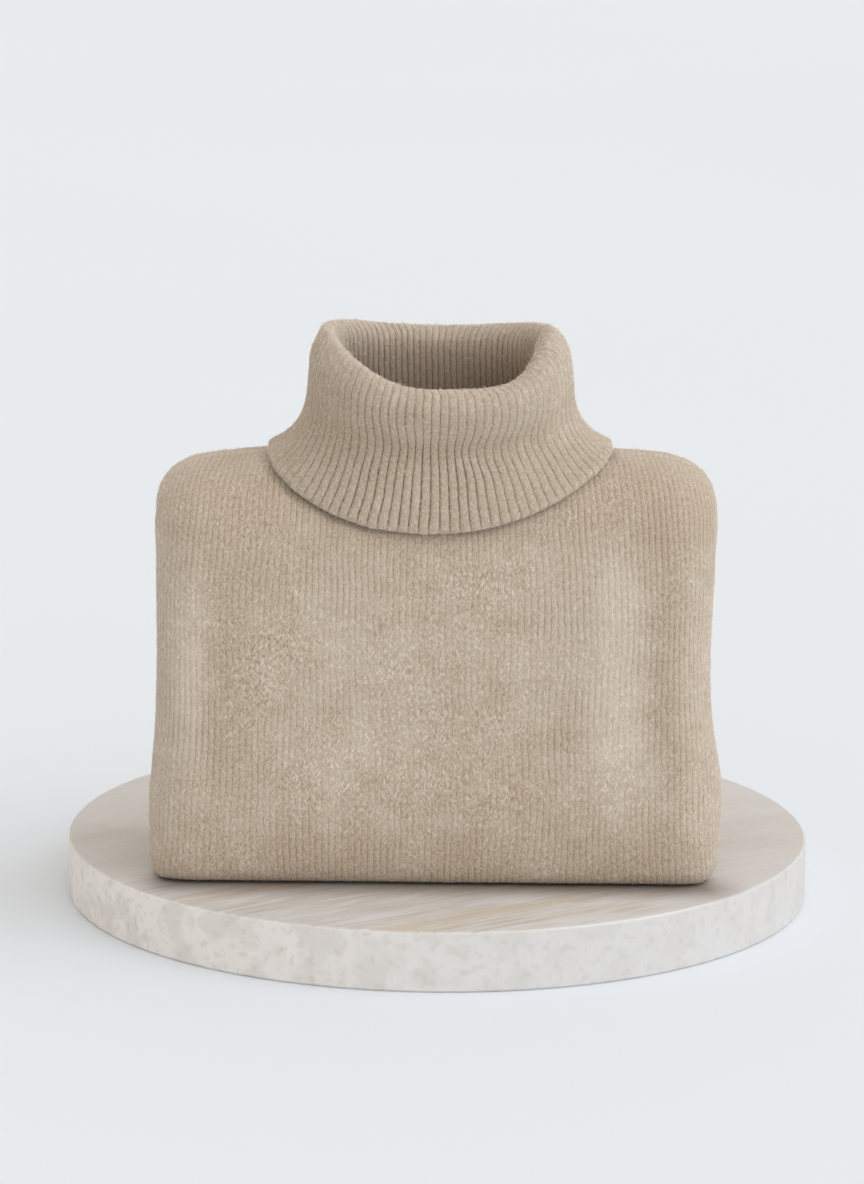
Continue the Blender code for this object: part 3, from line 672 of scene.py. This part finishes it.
def raise_panel(form, facing, flat, opened, lift):
    """A panel's points moved out by its creases and stitches, but not where it rests."""
    free = np.clip((form[..., 2] - 0.4) / 3.0, 0.0, 1.0)
    edge = np.minimum(1.0, (np.arange(len(form)) / 3.0))[:, None]
    relief = (jersey_relief(flat, opened, 2.0) + lift) * free * edge
    return form + facing * relief[..., None]


# brushed wool jersey: matt, with a soft nap that hides the stitches and pales at its edges
jersey = knit("brushed_wool_jersey", WALE, ("#8a7764", "#b09e89", "#c4b39e", "#e6dccf"),
              groove=(0.42, 0.74), chevron=0.10, fleck=0.50, felt=1.0)
wool_fibre = loose_wool()
front_line = smooth_line(FRONT_LINE)
front_rows = row_places(front_line)
front_form = panel_form(front_line, front_rows, -1)
fold_u = WALE / PER_WALE * np.arange(-(FLAT_COLUMNS + SIDE_COLUMNS), FLAT_COLUMNS + SIDE_COLUMNS + 1)
# the squared low corners are softened again, so that no stitch is torn there
low_corner = risen(abs(front_form[..., 0]), 128.0, 10.0) * risen(front_form[..., 2], 58.0, -20.0)
front_form = relax(front_form, low_corner * 0.6, 5)
front_x, front_y, front_z = np.moveaxis(front_form, 2, 0)
front_facing = facing_of(front_form)
front_flat = wavering(fold_u, front_rows[:, None], 80.0)
front_lift = creased(front_form, front_facing, FRONT_CREASES, -1)
front_lift += creased(front_form, front_facing, REAR_CREASES, 1)
front_marks = jersey_marks(front_flat, 40.0, creased(front_form, front_facing, FRONT_WORN_AND_SHADE, -1),
                           creased(front_form, front_facing, FRONT_NAP_AND_LIGHT, -1))
# on the shoulders the nap is laid flat as painted shade, most on the wearer's left where the light falls; the
# fold's foot is painted in shade
front_marks["nap"] *= 1 - np.clip(0.45 + 0.003 * front_x, 0.2, 1.0) * risen(front_z, 190.0, 20.0)
front_marks["deep"] = risen(front_z, 2.0, -1.8) * (front_y < FRONT_FACE)
front_outer = raise_panel(front_form, front_facing, front_flat, front_marks["groove"], front_lift)
front = cloth_shell("front_panel_cloth", front_outer, panel_inner(front_form, front_facing), front_flat,
                    front_marks, jersey)
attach(front, "root")
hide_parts("front_panel")
napped = np.clip(front_marks["nap"] + 0.15, 0, 1)
napped = napped * (1 - 0.6 * creased(front_form, front_facing, FRONT_NAP_AND_LIGHT[:1], -1))
napped *= (front_z > 2.5) * (abs(front_y - SLOT_Y) > 8)
front_nap = loose_fibres("front_panel_nap", front_outer, front_facing, napped, count=15500,
                         standing=0.10, seed=11)
# the nap along the fold's lower edge spreads out over the stone
low_edge = (front_z > 0.15) * (front_z < 2.6) * (front_y < FRONT_FACE)
forward = front_facing + np.array([0.0, -1.5, 0.0])
forward[..., 2] = 0.0
forward /= np.linalg.norm(forward, axis=2, keepdims=True)
edge_nap = loose_fibres("front_edge_nap", front_outer, forward, low_edge, count=3600,
                        standing=1.0, seed=15)
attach(edge_nap, "root")
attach(front_nap, "root")


# ---------------------------------------------------------------- back panel
# The knitted back, in the same jersey. Only its shoulder strip shows, from the shoulder seam behind
# the collar down to the welt; the rest lies inside the fold.
BACK_LINE = (
    # depth, height
    (-62, RIDGE), (-44, 221), (-28, 216.6), (-15, 208), (-7.5, 196.8), (-4.8, 182),
    (-4.4, HEM_HIGH + 0.6),
)
BACK_CREASES = (
    # across, height, half width, half length, lean, lift
    (-104, 190, 12, 24, 0.3, -0.9), (102, 188, 13, 22, -0.25, -0.9),
    (-30, 176, 14, 40, 1.4, 0.6), (46, 184, 12, 30, 1.1, -0.5),
)
back_line = smooth_line(BACK_LINE)
back_rows = row_places(back_line)
back_form = panel_form(back_line, back_rows, 1)
back_facing = facing_of(back_form)
back_flat = wavering(fold_u, back_rows[:, None] + 700.0, 80.0)
back_marks = jersey_marks(back_flat, 40.0)
back_marks["deep"] = np.zeros_like(back_marks["nap"])
back_outer = raise_panel(back_form, back_facing, back_flat, back_marks["groove"],
                         creased(back_form, back_facing, BACK_CREASES, 1))
back = cloth_shell("back_panel_cloth", back_outer, panel_inner(back_form, back_facing), back_flat,
                   back_marks, jersey)
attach(back, "root")
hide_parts("back_panel")
back_nap = loose_fibres("back_panel_nap", back_outer, back_facing, back_marks["nap"] + 0.15, count=3500,
                        standing=0.16, seed=12)
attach(back_nap, "root")


# ---------------------------------------------------------------- ribbed welt
# The ribbed hem of the front, knitted on in the same wool. It crosses the rear of the bundle as the
# last turn of the fold, and its cast-off edge lies uppermost.
HEM_LINE = ((3.2, HEM_LOW), (3.4, 131.0), (2.4, 149.0), (0.0, HEM_HIGH))  # depth, height
HEM_RIBS = 80
RIB_RAISE = 1.2                   # how far the ribs stand out
RIB_COURSE = 1.6                  # height of one row of rib stitches
RIB_PROFILE = (
    # share of the rib's width, height: a narrow groove and a broad rounded top
    (0, -0.15), (0.08, 0.48), (0.18, 0.86), (0.33, 1), (0.5, 1.05), (0.67, 1), (0.82, 0.86),
    (0.92, 0.48),
)


def rib_relief(ribs, rows, seed):
    """Height of the ribs over a grid of rows and of points across, each rib a little different."""
    heights = np.tile([h for _, h in RIB_PROFILE], ribs)
    number = np.repeat(np.arange(ribs), len(RIB_PROFILE))
    own = 1.0 + 0.10 * wander(number * 9.7, np.zeros(len(number)), 10.0, seed)
    along = np.arange(rows) * RIB_COURSE
    shaken = 1.0 + 0.14 * wander(number[None, :] * 4.0, along[:, None], 2.6, seed + 5.0)
    return (heights * own)[None, :] * shaken


def cast_off(run):
    """How open the grooves are and how far the face sinks, towards an edge that is bound off."""
    left = (run[-1] - run) / RIB_COURSE
    open_share = np.clip(left / 1.6 - 0.2, 0.0, 1.0)
    sink = -1.7 * np.clip(1.0 - left / 1.3, 0.0, 1.0) ** 2
    return open_share[:, None], sink[:, None]


hem_line = smooth_line(HEM_LINE)
hem_length = lengths(hem_line)[-1]
hem_rows = np.linspace(0.15, hem_length, 33)
hem_marks = np.array([(k + share) / HEM_RIBS for k in range(HEM_RIBS) for share, _ in RIB_PROFILE] + [1.0])
hem_form = []
for s in hem_rows:
    spot = along(hem_line, s)
    ring = np.concatenate([side_path(*spot, -1, 0.0)[::-1], side_path(*spot, 1, 0.0)[1:]])
    hem_form.append(along(ring, hem_marks * lengths(ring)[-1]))
hem_form = np.array(hem_form)
hem_facing = facing_of(hem_form)
hem_width = float(lengths(ring)[-1])
hem_ribs = np.pad(rib_relief(HEM_RIBS, len(hem_rows), 4.0), ((0, 0), (0, 1)), mode="edge")
hem_open, hem_sink = cast_off(hem_rows)
# the ribs fade towards both tucks and where they are knitted on
from_end = np.minimum(hem_marks, 1 - hem_marks) * hem_width
hem_fade = np.clip((from_end - 14.0) / 10.0, 0.25, 1.0)
hem_start = np.clip(np.arange(len(hem_rows)) / 4.0, 0.35, 1.0)[:, None]
hem_height = RIB_RAISE * hem_fade * hem_start * (hem_ribs * hem_open + 0.7 * (1 - hem_open)) + hem_sink
hem_flat = np.stack(np.broadcast_arrays(hem_marks * hem_width, hem_rows[:, None]), axis=-1)
hem_height += 0.35 * wander(hem_flat[..., 0], hem_flat[..., 1], 30.0, 9.0)
hem_outer = hem_form + hem_facing * hem_height[..., None]
rib_colours = ("#634832", "#a79480", "#bbaa94", "#e0d8cd")
# ribbed wool knit: matt, each rib a plump column, with a narrow groove between two ribs, painted dark as
# shade
hem_knit = knit("ribbed_wool_welt", hem_width / HEM_RIBS, rib_colours, groove=(0.17, 0.85),
                chevron=0.22, fleck=0.5)
hem = cloth_shell("hem_rib_cloth", hem_outer, (hem_form - hem_facing * CLOTH)[::INNER_ROW, ::INNER_COLUMN],
                  hem_flat, {"groove": 0.75 * hem_open * hem_fade, "nap": 0.3}, hem_knit)
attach(hem, "root")
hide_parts("hem_rib")
hem_nap = loose_fibres("hem_rib_nap", hem_outer, hem_facing, 1.0, count=2500, standing=0.2, seed=13)
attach(hem_nap, "root")


# ---------------------------------------------------------------- sleeves
# Each sleeve is folded back and down between the layers. Its rounded edge shows in the side slot.
SLEEVE_DEPTH, SLEEVE_HALF = 72.0, 3.9
SLEEVE_LOW, SLEEVE_HIGH, SLEEVE_CORNER = 33.0, 169.0, 9.0
SLEEVE_ROWS, SLEEVE_COLUMNS = 48, 192
SLEEVE_TABLE = (
    # in from the side, half thickness
    (SLEEVE_DEPTH, 1.2), (SLEEVE_DEPTH - 2, SLEEVE_HALF), (24, SLEEVE_HALF), (15, 4.3),
    (12, 4.5), (9.9, 4.1), (9.1, 3), (10.4, 1.6),
)


def sleeve_section(z, side):
    """Path round the folded sleeve at a height: out at the rear, round the edge, in at the front."""
    near_end = max(0.0, SLEEVE_CORNER - min(z - SLEEVE_LOW, SLEEVE_HIGH - z))
    inset = SLEEVE_CORNER - math.sqrt(SLEEVE_CORNER ** 2 - near_end ** 2)
    depth, half = np.array(SLEEVE_TABLE).T
    x = side * (reach_at(z, side) - depth - inset * (1.0 - depth / SLEEVE_DEPTH))
    there, back_again = (np.stack([x, SLOT_Y + way * half, np.full(len(x), z)], axis=1) for way in (1, -1))
    return np.concatenate([there, back_again[::-1]])


for side, name, node in ((-1, "sleeve_right_cloth", "sleeve_right"), (1, "sleeve_left_cloth", "sleeve_left")):
    sleeve_rows = np.linspace(SLEEVE_LOW, SLEEVE_HIGH, SLEEVE_ROWS + 1)
    form = []
    for z in sleeve_rows:
        path = sleeve_section(z, side)
        form.append(np.concatenate([path[:1], even(path, SLEEVE_COLUMNS)]))
    form = np.array(form)
    trim = np.clip(np.minimum(sleeve_rows - SLEEVE_LOW, SLEEVE_HIGH - sleeve_rows) / 4.0, 0.0, 1.0)
    swell = np.sqrt(trim * (2 - trim))[:, None]
    form[..., 1] = SLOT_Y + (form[..., 1] - SLOT_Y) * (0.25 + 0.75 * swell)
    run = lengths(form[SLEEVE_ROWS // 2])
    facing = facing_of(form)
    facing *= np.sign((facing[..., 1] * (form[..., 1] - SLOT_Y)).sum())
    flat = wavering(run + 30.0 + 300.0 * side, sleeve_rows[:, None], 90.0)
    marks = jersey_marks(flat, 60.0)
    relief = (jersey_relief(flat, marks["groove"], 12.0) - 0.1) * swell * 0.8
    inner = (form - facing * np.minimum(1.15, 0.3 + swell[..., None]))[::INNER_ROW, ::INNER_COLUMN]
    sleeve = cloth_shell(name, form + facing * relief[..., None], inner, flat, marks, jersey)
    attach(sleeve, "root")
    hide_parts(node)


# ---------------------------------------------------------------- hidden layers
# The rest of the back, the side flaps and the cuffs, pressed together inside the fold. They show only
# down the collar, as crumpled jersey wrong side out, and as a dark line between the outer layers.
NECK_FOLDS = (
    # across, depth, half width, half length, lean, lift
    (-20, -70, 5, 26, 0.5, -2.6), (-6, -58, 6, 30, 0.2, 1.8),
    (12, -52, 4.5, 24, -0.3, -2.8), (28, -66, 6, 22, -0.7, 1.6),
    (-34, -52, 6, 16, 0.9, 1.4), (4, -82, 4, 26, 1.4, -2.2),
    (36, -50, 4, 14, 0.4, -1.8),
)
FLOOR_X, FLOOR_Y, FLOOR_FINE_Y = 50.0, 35.0, 36.0  # half sizes of the crumpled floor, and of its fine part
hidden_knit = knit("wool_jersey_wrong_side", WALE, ("#7f6d5b", "#9c8973", "#a6947f", "#c8baa8"),
                   groove=(0.5, 0.25), chevron=0.3, fleck=0.9)
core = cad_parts["folded_layers"]
core_mesh = core.data.copy()
work = bmesh.new()
work.from_mesh(core_mesh)
bmesh.ops.remove_doubles(work, verts=work.verts, dist=1e-6)
floor_z = (RIDGE + LIFT - 9.0) * MM
neck_edges = set()
for face in work.faces:
    middle = face.calc_center_median()
    x, y = (middle.x / MM - NECK_X) / FLOOR_X, (middle.y / MM - NECK_Y) / FLOOR_FINE_Y
    if middle.z > floor_z and x ** 2 + y ** 2 < 1.0:
        neck_edges.update(face.edges)
bmesh.ops.subdivide_edges(work, edges=list(neck_edges), cuts=7, use_grid_fill=True)
bmesh.ops.triangulate(work, faces=[f for f in work.faces if len(f.verts) > 4])
for vert in work.verts:
    vert.co.z -= 1.3 * MM * eased(risen(vert.co.z / MM - LIFT, 188.0, 30.0))
    x, y = vert.co.x / MM, vert.co.y / MM
    from_x, from_y = x - NECK_X, y - NECK_Y
    share = 1.0 - (from_x / FLOOR_X) ** 2 - (from_y / FLOOR_Y) ** 2
    if vert.co.z > floor_z and share > 0.0:
        rise = 1.2 * noise.noise((from_x / 9.0, from_y / 9.0, 5.0)) - 1.0
        rise += sum(crease(x - across, y - depth, *shape) for across, depth, *shape in NECK_FOLDS)
        vert.co.z += MM * rise * min(1.0, share * 3.0)
flat_map = work.loops.layers.uv.new("cloth")
for face in work.faces:
    for loop in face.loops:
        spot = loop.vert.co
        loop[flat_map].uv = (spot.x, spot.y + spot.z)
work.to_mesh(core_mesh)
work.free()
core_mesh.materials.clear()
core_mesh.materials.append(hidden_knit)
hidden = linked("inner_layers_cloth", core_mesh)
smoothed(hidden, 50.0)
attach(hidden, "root")
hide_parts("folded_layers")


# ---------------------------------------------------------------- roll collar
# One ribbed tube, linked on at the neck. It rises inside, turns over at a soft rolled rim and flares
# out over the shoulders to its cast-off edge.
COLLAR_RIBS = 92
RIB = 4.3                         # width of a rib at the collar's waist
COLLAR_ROWS = 124
STATION_STEPS = 12                # rings made from each station to the next
RIM_STATION, WAIST_STATION = 4, 8  # the rows of the table below at the rolled rim and at the waist
RING_POINTS = 1441                # points worked out on each ring before it is read at its marks
COLLAR = (
    # half width, front depth, back depth, front height, side height, back height, squareness, how much
    # fuller on the wearer's right, rise to the sides in front (right, left) and behind, ribs drawn to the
    # sides and to the front, tilt, middle
    (56, -103, -20, 206, 220, 213, 2, 0, 3, 3, 3, 0, 0, 0, 0),
    (54.5, -99, -22.5, 231, 246, 247, 2.1, 0, 3, 3, 3, 0, 0, 0, -1.6),
    (53, -97, -25, 250, 272.5, 268.8, 2.2, 0, 2.6, 4, 2.2, 0, 0, 0, -2.6),
    (54.5, -98.5, -23.5, 255.6, 281.2, 275.2, 2.25, 0, 2.15, 4.6, 1.7, 0, 0, 0, -2.6),
    (58.5, -103.5, -19, 259.2, 285.2, 278.5, 2.3, 0, 2.15, 4.6, 1.7, -0.04, 0, 0, -2.1),
    (62.5, -109.5, -13, 257, 281.2, 276.6, 2.25, 0, 2.35, 4.2, 1.8, -0.06, 0, 0, -0.6),
    (66.2, -113.2, -9.3, 250.2, 273.4, 270, 2.2, 0, 2.9, 3.6, 2.2, -0.07, 0, 0, -0.6),
    (68, -111.2, -9.3, 240.5, 261, 256.6, 2.25, 0, 3.1, 3.2, 3, -0.07, 0.01, 0, -0.6),
    (69.6, -106.6, -11, 229.5, 246.5, 242.5, 2.35, 0.1, 3.02, 2.98, 3, -0.07, 0.03, 0, -0.6),
    (73.6, -107.8, -9.6, 217.5, 236.2, 229.5, 2.5, 0.3, 3.07, 2.93, 3, -0.07, 0.05, 0.004, -0.6),
    (80.6, -113.8, -6, 203, 228, 217.5, 2.85, 0.7, 2.75, 2.45, 3, -0.06, 0.08, 0.010, -0.6),
    (90, -118.6, -3, 188.6, 222.4, 207, 3.1, 1, 2.42, 1.98, 3, -0.06, 0.1, 0.016, -0.6),
)
SHADE_REACH, SHADE_SOFT = 5.4, 2.0  # how far the edge's shade reaches over the shoulders, and its soft end
COLLAR_TWIST = (
    # share of the way round, half reach, height on the cloth from the waist, half height, amount
    (0.12, 0.085, 1, 12, -3.6), (0.02, 0.05, 0, 10, -1), (0.93, 0.05, -3, 10, 1.5),
    (0.42, 0.09, 2, 15, 3.5), (0.62, 0.08, -2, 14, -3),
)


def collar_ring(station, marks):
    """One ring of the tube, read at even shares of its way round from the middle of the front."""
    half, front_y, back_y, z_front, z_side, z_back, square, lean = station[:8]
    fore_right, fore_left, aft, beside, before, tilt, shift = station[8:]
    mid, deep = (front_y + back_y) / 2, (back_y - front_y) / 2
    a = np.linspace(0, 2 * math.pi, RING_POINTS)
    s, c = np.sin(a), np.cos(a)
    power = 2 / (square - 0.3 * lean * np.clip(1.5 * s, -1.0, 1.0))
    x = shift + half * np.sign(s) * abs(s) ** power
    y = mid - deep * np.sign(c) * abs(c) ** power
    rise = np.where(c > 0, np.where(s < 0, fore_right, fore_left), aft)
    end = np.where(c > 0, z_front, z_back)
    z = end + (z_side - end) * np.minimum(1.0, abs(x - shift) / half) ** rise + tilt * x
    ring = np.stack([x, y, z], axis=1)
    whole = 2 * math.pi
    bunched = beside / (2 * whole) * np.sin(2 * whole * marks) + before / whole * np.sin(whole * marks)
    return along(ring, (marks - bunched) * lengths(ring)[-1])


def shoulder_height(x, y):
    """Height of the shoulders' outer face over a place at the neck line."""
    line, sign = (near_part(front_line, -1), -1) if y < NECK_Y else (back_line, 1)
    z = np.interp(y * sign, line[:, 0] * sign, line[:, 1])
    return z - shoulder_drop(x, z)


def round_from(marks, middle):
    """How far each mark is from one of them, the shorter way round the tube, as a share of all of it."""
    return (marks - middle + 0.5) % 1.0 - 0.5


def unit(way):
    """Directions made one long."""
    return way / np.linalg.norm(way, axis=2, keepdims=True)


collar_marks = np.array([(k + share) / COLLAR_RIBS for k in range(COLLAR_RIBS) for share, _ in RIB_PROFILE])
stations = [collar_ring(station, collar_marks) for station in COLLAR]
for spot in stations[0]:
    hole_x = spot[0] * NECK_HALF_X / COLLAR[0][0]
    hole_y = NECK_Y + (spot[1] - NECK_Y) * NECK_HALF_Y / (NECK_Y - COLLAR[0][1])
    spot[2] = shoulder_height(hole_x, hole_y) - 1.0
dense = through(stations, STATION_STEPS)
collar_run = np.concatenate([[0.0], np.cumsum(np.linalg.norm(np.diff(dense, axis=0), axis=2).mean(axis=1))])
run = np.linspace(0.0, collar_run[-1], COLLAR_ROWS + 1)
low = np.clip(np.searchsorted(collar_run, run, side="right") - 1, 0, len(dense) - 2)
share = ((run - collar_run[low]) / (collar_run[low + 1] - collar_run[low]))[:, None, None]
collar_form = dense[low] * (1 - share) + dense[low + 1] * share
collar_facing = facing_of(collar_form, closed=True)
if collar_facing[COLLAR_ROWS * 5 // 6, 0, 1] > 0:
    collar_facing = -collar_facing
rim_run, waist_run = (collar_run[k * STATION_STEPS] for k in (RIM_STATION, WAIST_STATION))
collar_open, collar_sink = cast_off(run)
run = run[:, None]                # from here on a column, to spread over the marks
round_way = collar_marks * COLLAR_RIBS * RIB
side_way = unit(np.roll(collar_form, -1, axis=1) - np.roll(collar_form, 1, axis=1))
down_way = unit(np.gradient(collar_form, axis=0))
to_left = unit(collar_facing)[..., 0]

# each rib wanders a little, and at the waist the tube is twisted, so that they swing to one side and back
number = np.repeat(np.arange(COLLAR_RIBS), len(RIB_PROFILE))
drift = 0.26 * wander(number * 4.3, run, 9.0, 21.0)
for middle, reach, height, half, amount in COLLAR_TWIST:
    here = peak(round_from(collar_marks, middle), 0.0, reach, 4)
    drift += amount * peak(run - waist_run, height, half) * here

# the grooves are deep, and dark with painted shade, towards the wearer's right of the front, the side the
# light reaches least; they are shallow and pale over the rim, at the sides and in two calm places
outside = run > rim_run
on_rim = peak(run, rim_run, 11.0)
flare = risen(run, waist_run - 6.0, 14.0)
from_dark = round_from(collar_marks, 0.93)
edge_dark = np.where(abs(from_dark) < 0.3, peak(from_dark, 0.0, 0.125), 0.25)
dark_side = np.where(outside, edge_dark, 0.7)
calm = (peak(collar_marks, 0.765, 0.11) + 0.65 * peak(collar_marks, 0.16, 0.09)) * outside
patchy = 0.16 * wander(round_way, run, 22.0, 51.0)
groove_open_and_shade = (0.52 + 0.48 * flare) * (0.27 + 0.73 * dark_side) * (1 - 0.75 * on_rim)
groove_open_and_shade = np.clip((groove_open_and_shade + patchy) * (1 - 0.75 * calm), 0.04, 1.0)
collar_open = np.clip(collar_open + 0.3, 0.0, 1.0)
to_side = abs(to_left) * outside
depth_share = (0.52 + 0.48 * flare) * (1 - 0.70 * on_rim) * (1 - 0.45 * np.clip(to_side * 1.5 - 0.3, 0, 1))
depth_share = 0.35 + 0.65 * np.clip(depth_share * (0.6 + 0.4 * dark_side) + patchy, 0.0, 1.0)
depth_share *= 1 - 0.55 * calm
collar_ribs = rib_relief(COLLAR_RIBS, COLLAR_ROWS + 1, 31.0)
collar_height = RIB_RAISE * (1.0 + (collar_ribs - 1.0) * depth_share * collar_open) + collar_sink

# slow unevenness all round the tube, and an edge that each rib pushes out in a small lobe
circle = np.stack([np.cos(2 * math.pi * collar_marks), np.sin(2 * math.pi * collar_marks)]) * 34.0
slow = np.array([[noise.noise((a / 22.0, b / 22.0, s / 26.0)) for a, b in circle.T] for s in run[:, 0]])
collar_height += 0.9 * slow * risen(run, 20.0, 30.0)
scallop = risen(run, collar_run[-1] - 4.5, 4.5) ** 1.5
lobe = 0.9 * (collar_ribs - 0.8) + 0.7 * wander(round_way, run * 0, 12.0, 61.0)
collar_outer = collar_form + collar_facing * collar_height[..., None] + side_way * drift[..., None]
collar_outer += down_way * (scallop * lobe)[..., None]
collar_flat = np.stack(np.broadcast_arrays(np.append(round_way, COLLAR_RIBS * RIB), run), axis=-1)

# the nap is brushed up on the rim and the edge; it is painted paler towards the wearer's left, where the
# light falls, as painted light, and darker at the waist, as painted shade; down inside the neck the wool is
# painted in shade
waist = peak(run, waist_run - 1.0, 7.0)
collar_nap_and_light = 0.30 + 0.4 * on_rim + 0.5 * scallop ** 2 - 0.25 * waist + 0.30 * to_left
collar_nap_and_light += 0.15 * wander(round_way, run, 13.0, 71.0)
collar_nap_and_light = np.clip(collar_nap_and_light * risen(run, rim_run - 36.0, 24.0), 0.0, 1.0)
# painted shade down inside the neck, most at the mouth's ends, and on the flare towards the wearer's right
corner = peak(collar_marks, 0.66, 0.06)
collar_painted_shade = 0.44 * risen(run, rim_run - 15.0 + 13.0 * corner, -24.0)
collar_painted_shade = collar_painted_shade * (0.8 + 0.5 * peak(collar_marks, 0.36, 0.10) + 0.2 * corner)
collar_painted_shade = collar_painted_shade + 0.10 * flare * peak(collar_marks, 0.86, 0.075, 4)
collar_marked = {"groove": groove_open_and_shade * collar_open, "nap": collar_nap_and_light, "deep": collar_painted_shade}
# ribbed wool knit of the collar: like the welt's, in finer ribs with softer grooves and less loose fibre
collar_knit = knit("ribbed_wool_collar", RIB, rib_colours, groove=(0.22, 0.85), chevron=0.16, fleck=0.30)
collar = cloth_shell("roll_collar_cloth", collar_outer,
                     (collar_form - collar_facing * CLOTH)[::INNER_ROW, ::INNER_COLUMN], collar_flat,
                     collar_marked, collar_knit, closed=True)
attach(collar, "root")
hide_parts("roll_collar")
fuzzy = (0.5 + 0.8 * on_rim + 0.8 * scallop) * risen(run, rim_run - 24.0, 8.0)
collar_fuzz = loose_fibres("roll_collar_nap", collar_outer, collar_facing, fuzzy, count=11000,
                           standing=0.09, seed=14)
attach(collar_fuzz, "root")

# under the collar's edge the wool of the shoulders lies in deep shade
edge_line = KDTree(len(collar_marks))
for k, spot in enumerate(collar_outer[-1]):
    edge_line.insert(spot, k)
edge_line.balance()
edge_shade = 1 - 0.28 * (collar_marks > 0.5) * np.minimum(1.0, (1 - collar_marks) / 0.08)
edge_shade *= 0.12 + 0.88 * edge_dark
for piece, outer, marks in ((front, front_outer, front_marks), (back, back_outer, back_marks)):
    near = np.argwhere((outer[..., 2] > 170.0) & (abs(outer[..., 0]) < 110.0))
    deep = marks["deep"]
    for r, c in near.tolist():
        _, k, away = edge_line.find(outer[r, c])
        deep[r, c] = max(deep[r, c], edge_shade[k] * min(1.0, max(0.0, (SHADE_REACH - away) / SHADE_SOFT)))
    values = np.concatenate([deep.ravel(), np.zeros(len(piece.data.vertices) - deep.size)])
    piece.data.attributes["deep"].data.foreach_set("value", values.astype(np.float32))


# ---------------------------------------------------------------- floor, light and camera
# A pale seamless studio floor. Two broad soft lights stand above it, one to the right and one nearly
# in front, and the room gives its own fill.
FLOOR_COLOUR, FLOOR_CLOUD, ROOM_COLOUR, KEY_COLOUR = "#e7edf3", "#eef0f1", "#fbf4ec", "#eaf3ff"
bpy.ops.mesh.primitive_circle_add(vertices=128, radius=14.0, fill_type="NGON", location=(0, 0, 0))
floor = bpy.context.object
floor.name = "studio_floor"
# matt floor paint: pale and cool, in very faint clouds
paint, tree, shader = new_material("matt_floor_paint", 0.9, 1.45)
clouds = grain(tree, add_node(tree, "TexCoord").outputs["Object"], (1.6, 1.6, 1.0), 0.0, 2.0)
clouds = mixed(tree, ramped(tree, clouds, 0.3, 0.7, 0.0, 0.15), linear(FLOOR_COLOUR), linear(FLOOR_CLOUD))
tree.links.new(clouds, shader.inputs["Base Color"])
shader.inputs["Specular IOR Level"].default_value = 0.1
floor.data.materials.append(paint)

world = bpy.data.worlds.new("studio_room")
world.use_nodes = True
tree = world.node_tree
across = add_node(tree, "SeparateXYZ", ((0, add_node(tree, "TexCoord").outputs["Generated"]),)).outputs[0]
# the room is lighter on the right
strength = add_node(tree, "MapRange", ((0, across), (1, -1.0), (2, 1.0), (3, 0.66), (4, 0.96))).outputs[0]
tree.nodes["Background"].inputs["Color"].default_value = linear(ROOM_COLOUR)
tree.links.new(strength, tree.nodes["Background"].inputs["Strength"])
bpy.context.scene.world = world

KEY_LIGHTS = (
    # name, height above the horizon, turn from the front towards the right, width of the source, power
    ("side_softbox", 36, 76, 60, 0.95),
    ("front_softbox", 36, 20, 60, 0.55),
)
for name, rise, turn, wide, power in KEY_LIGHTS:
    bpy.ops.object.light_add(type="SUN", location=(0, 0, 2))
    lamp = bpy.context.object
    lamp.name = name
    lamp.data.energy = power
    lamp.data.color = linear(KEY_COLOUR)[:3]
    lamp.data.angle = math.radians(wide)
    a, e = math.radians(turn), math.radians(rise)
    toward = Vector((math.sin(a) * math.cos(e), -math.cos(a) * math.cos(e), math.sin(e)))
    lamp.rotation_mode = "QUATERNION"
    lamp.rotation_quaternion = toward.to_track_quat("Z", "Y")

# a long lens, set well back and a little above the collar, level but for a slight roll
FRAME_LONG_SIDE, FOCAL_PIXELS = 1184, 5000.0
EYE = Vector((-0.0041, -2.6282, 0.7425))
PITCH, ROLL = math.radians(12.415), math.radians(-0.526)
bpy.ops.object.camera_add(location=EYE)
camera = bpy.context.object
ahead = Vector((0.0, math.cos(PITCH), -math.sin(PITCH)))
upward = Vector((0.0, math.sin(PITCH), math.cos(PITCH)))
level = Vector((1.0, 0.0, 0.0))
across = level * math.cos(ROLL) - upward * math.sin(ROLL)
above = upward * math.cos(ROLL) + level * math.sin(ROLL)
stand = Matrix((across, above, -ahead)).transposed().to_4x4()
stand.translation = EYE
camera.matrix_world = stand
camera.data.sensor_width = 36.0
camera.data.lens = FOCAL_PIXELS / FRAME_LONG_SIDE * camera.data.sensor_width
camera.data.clip_end = 60.0
bpy.context.scene.camera = camera
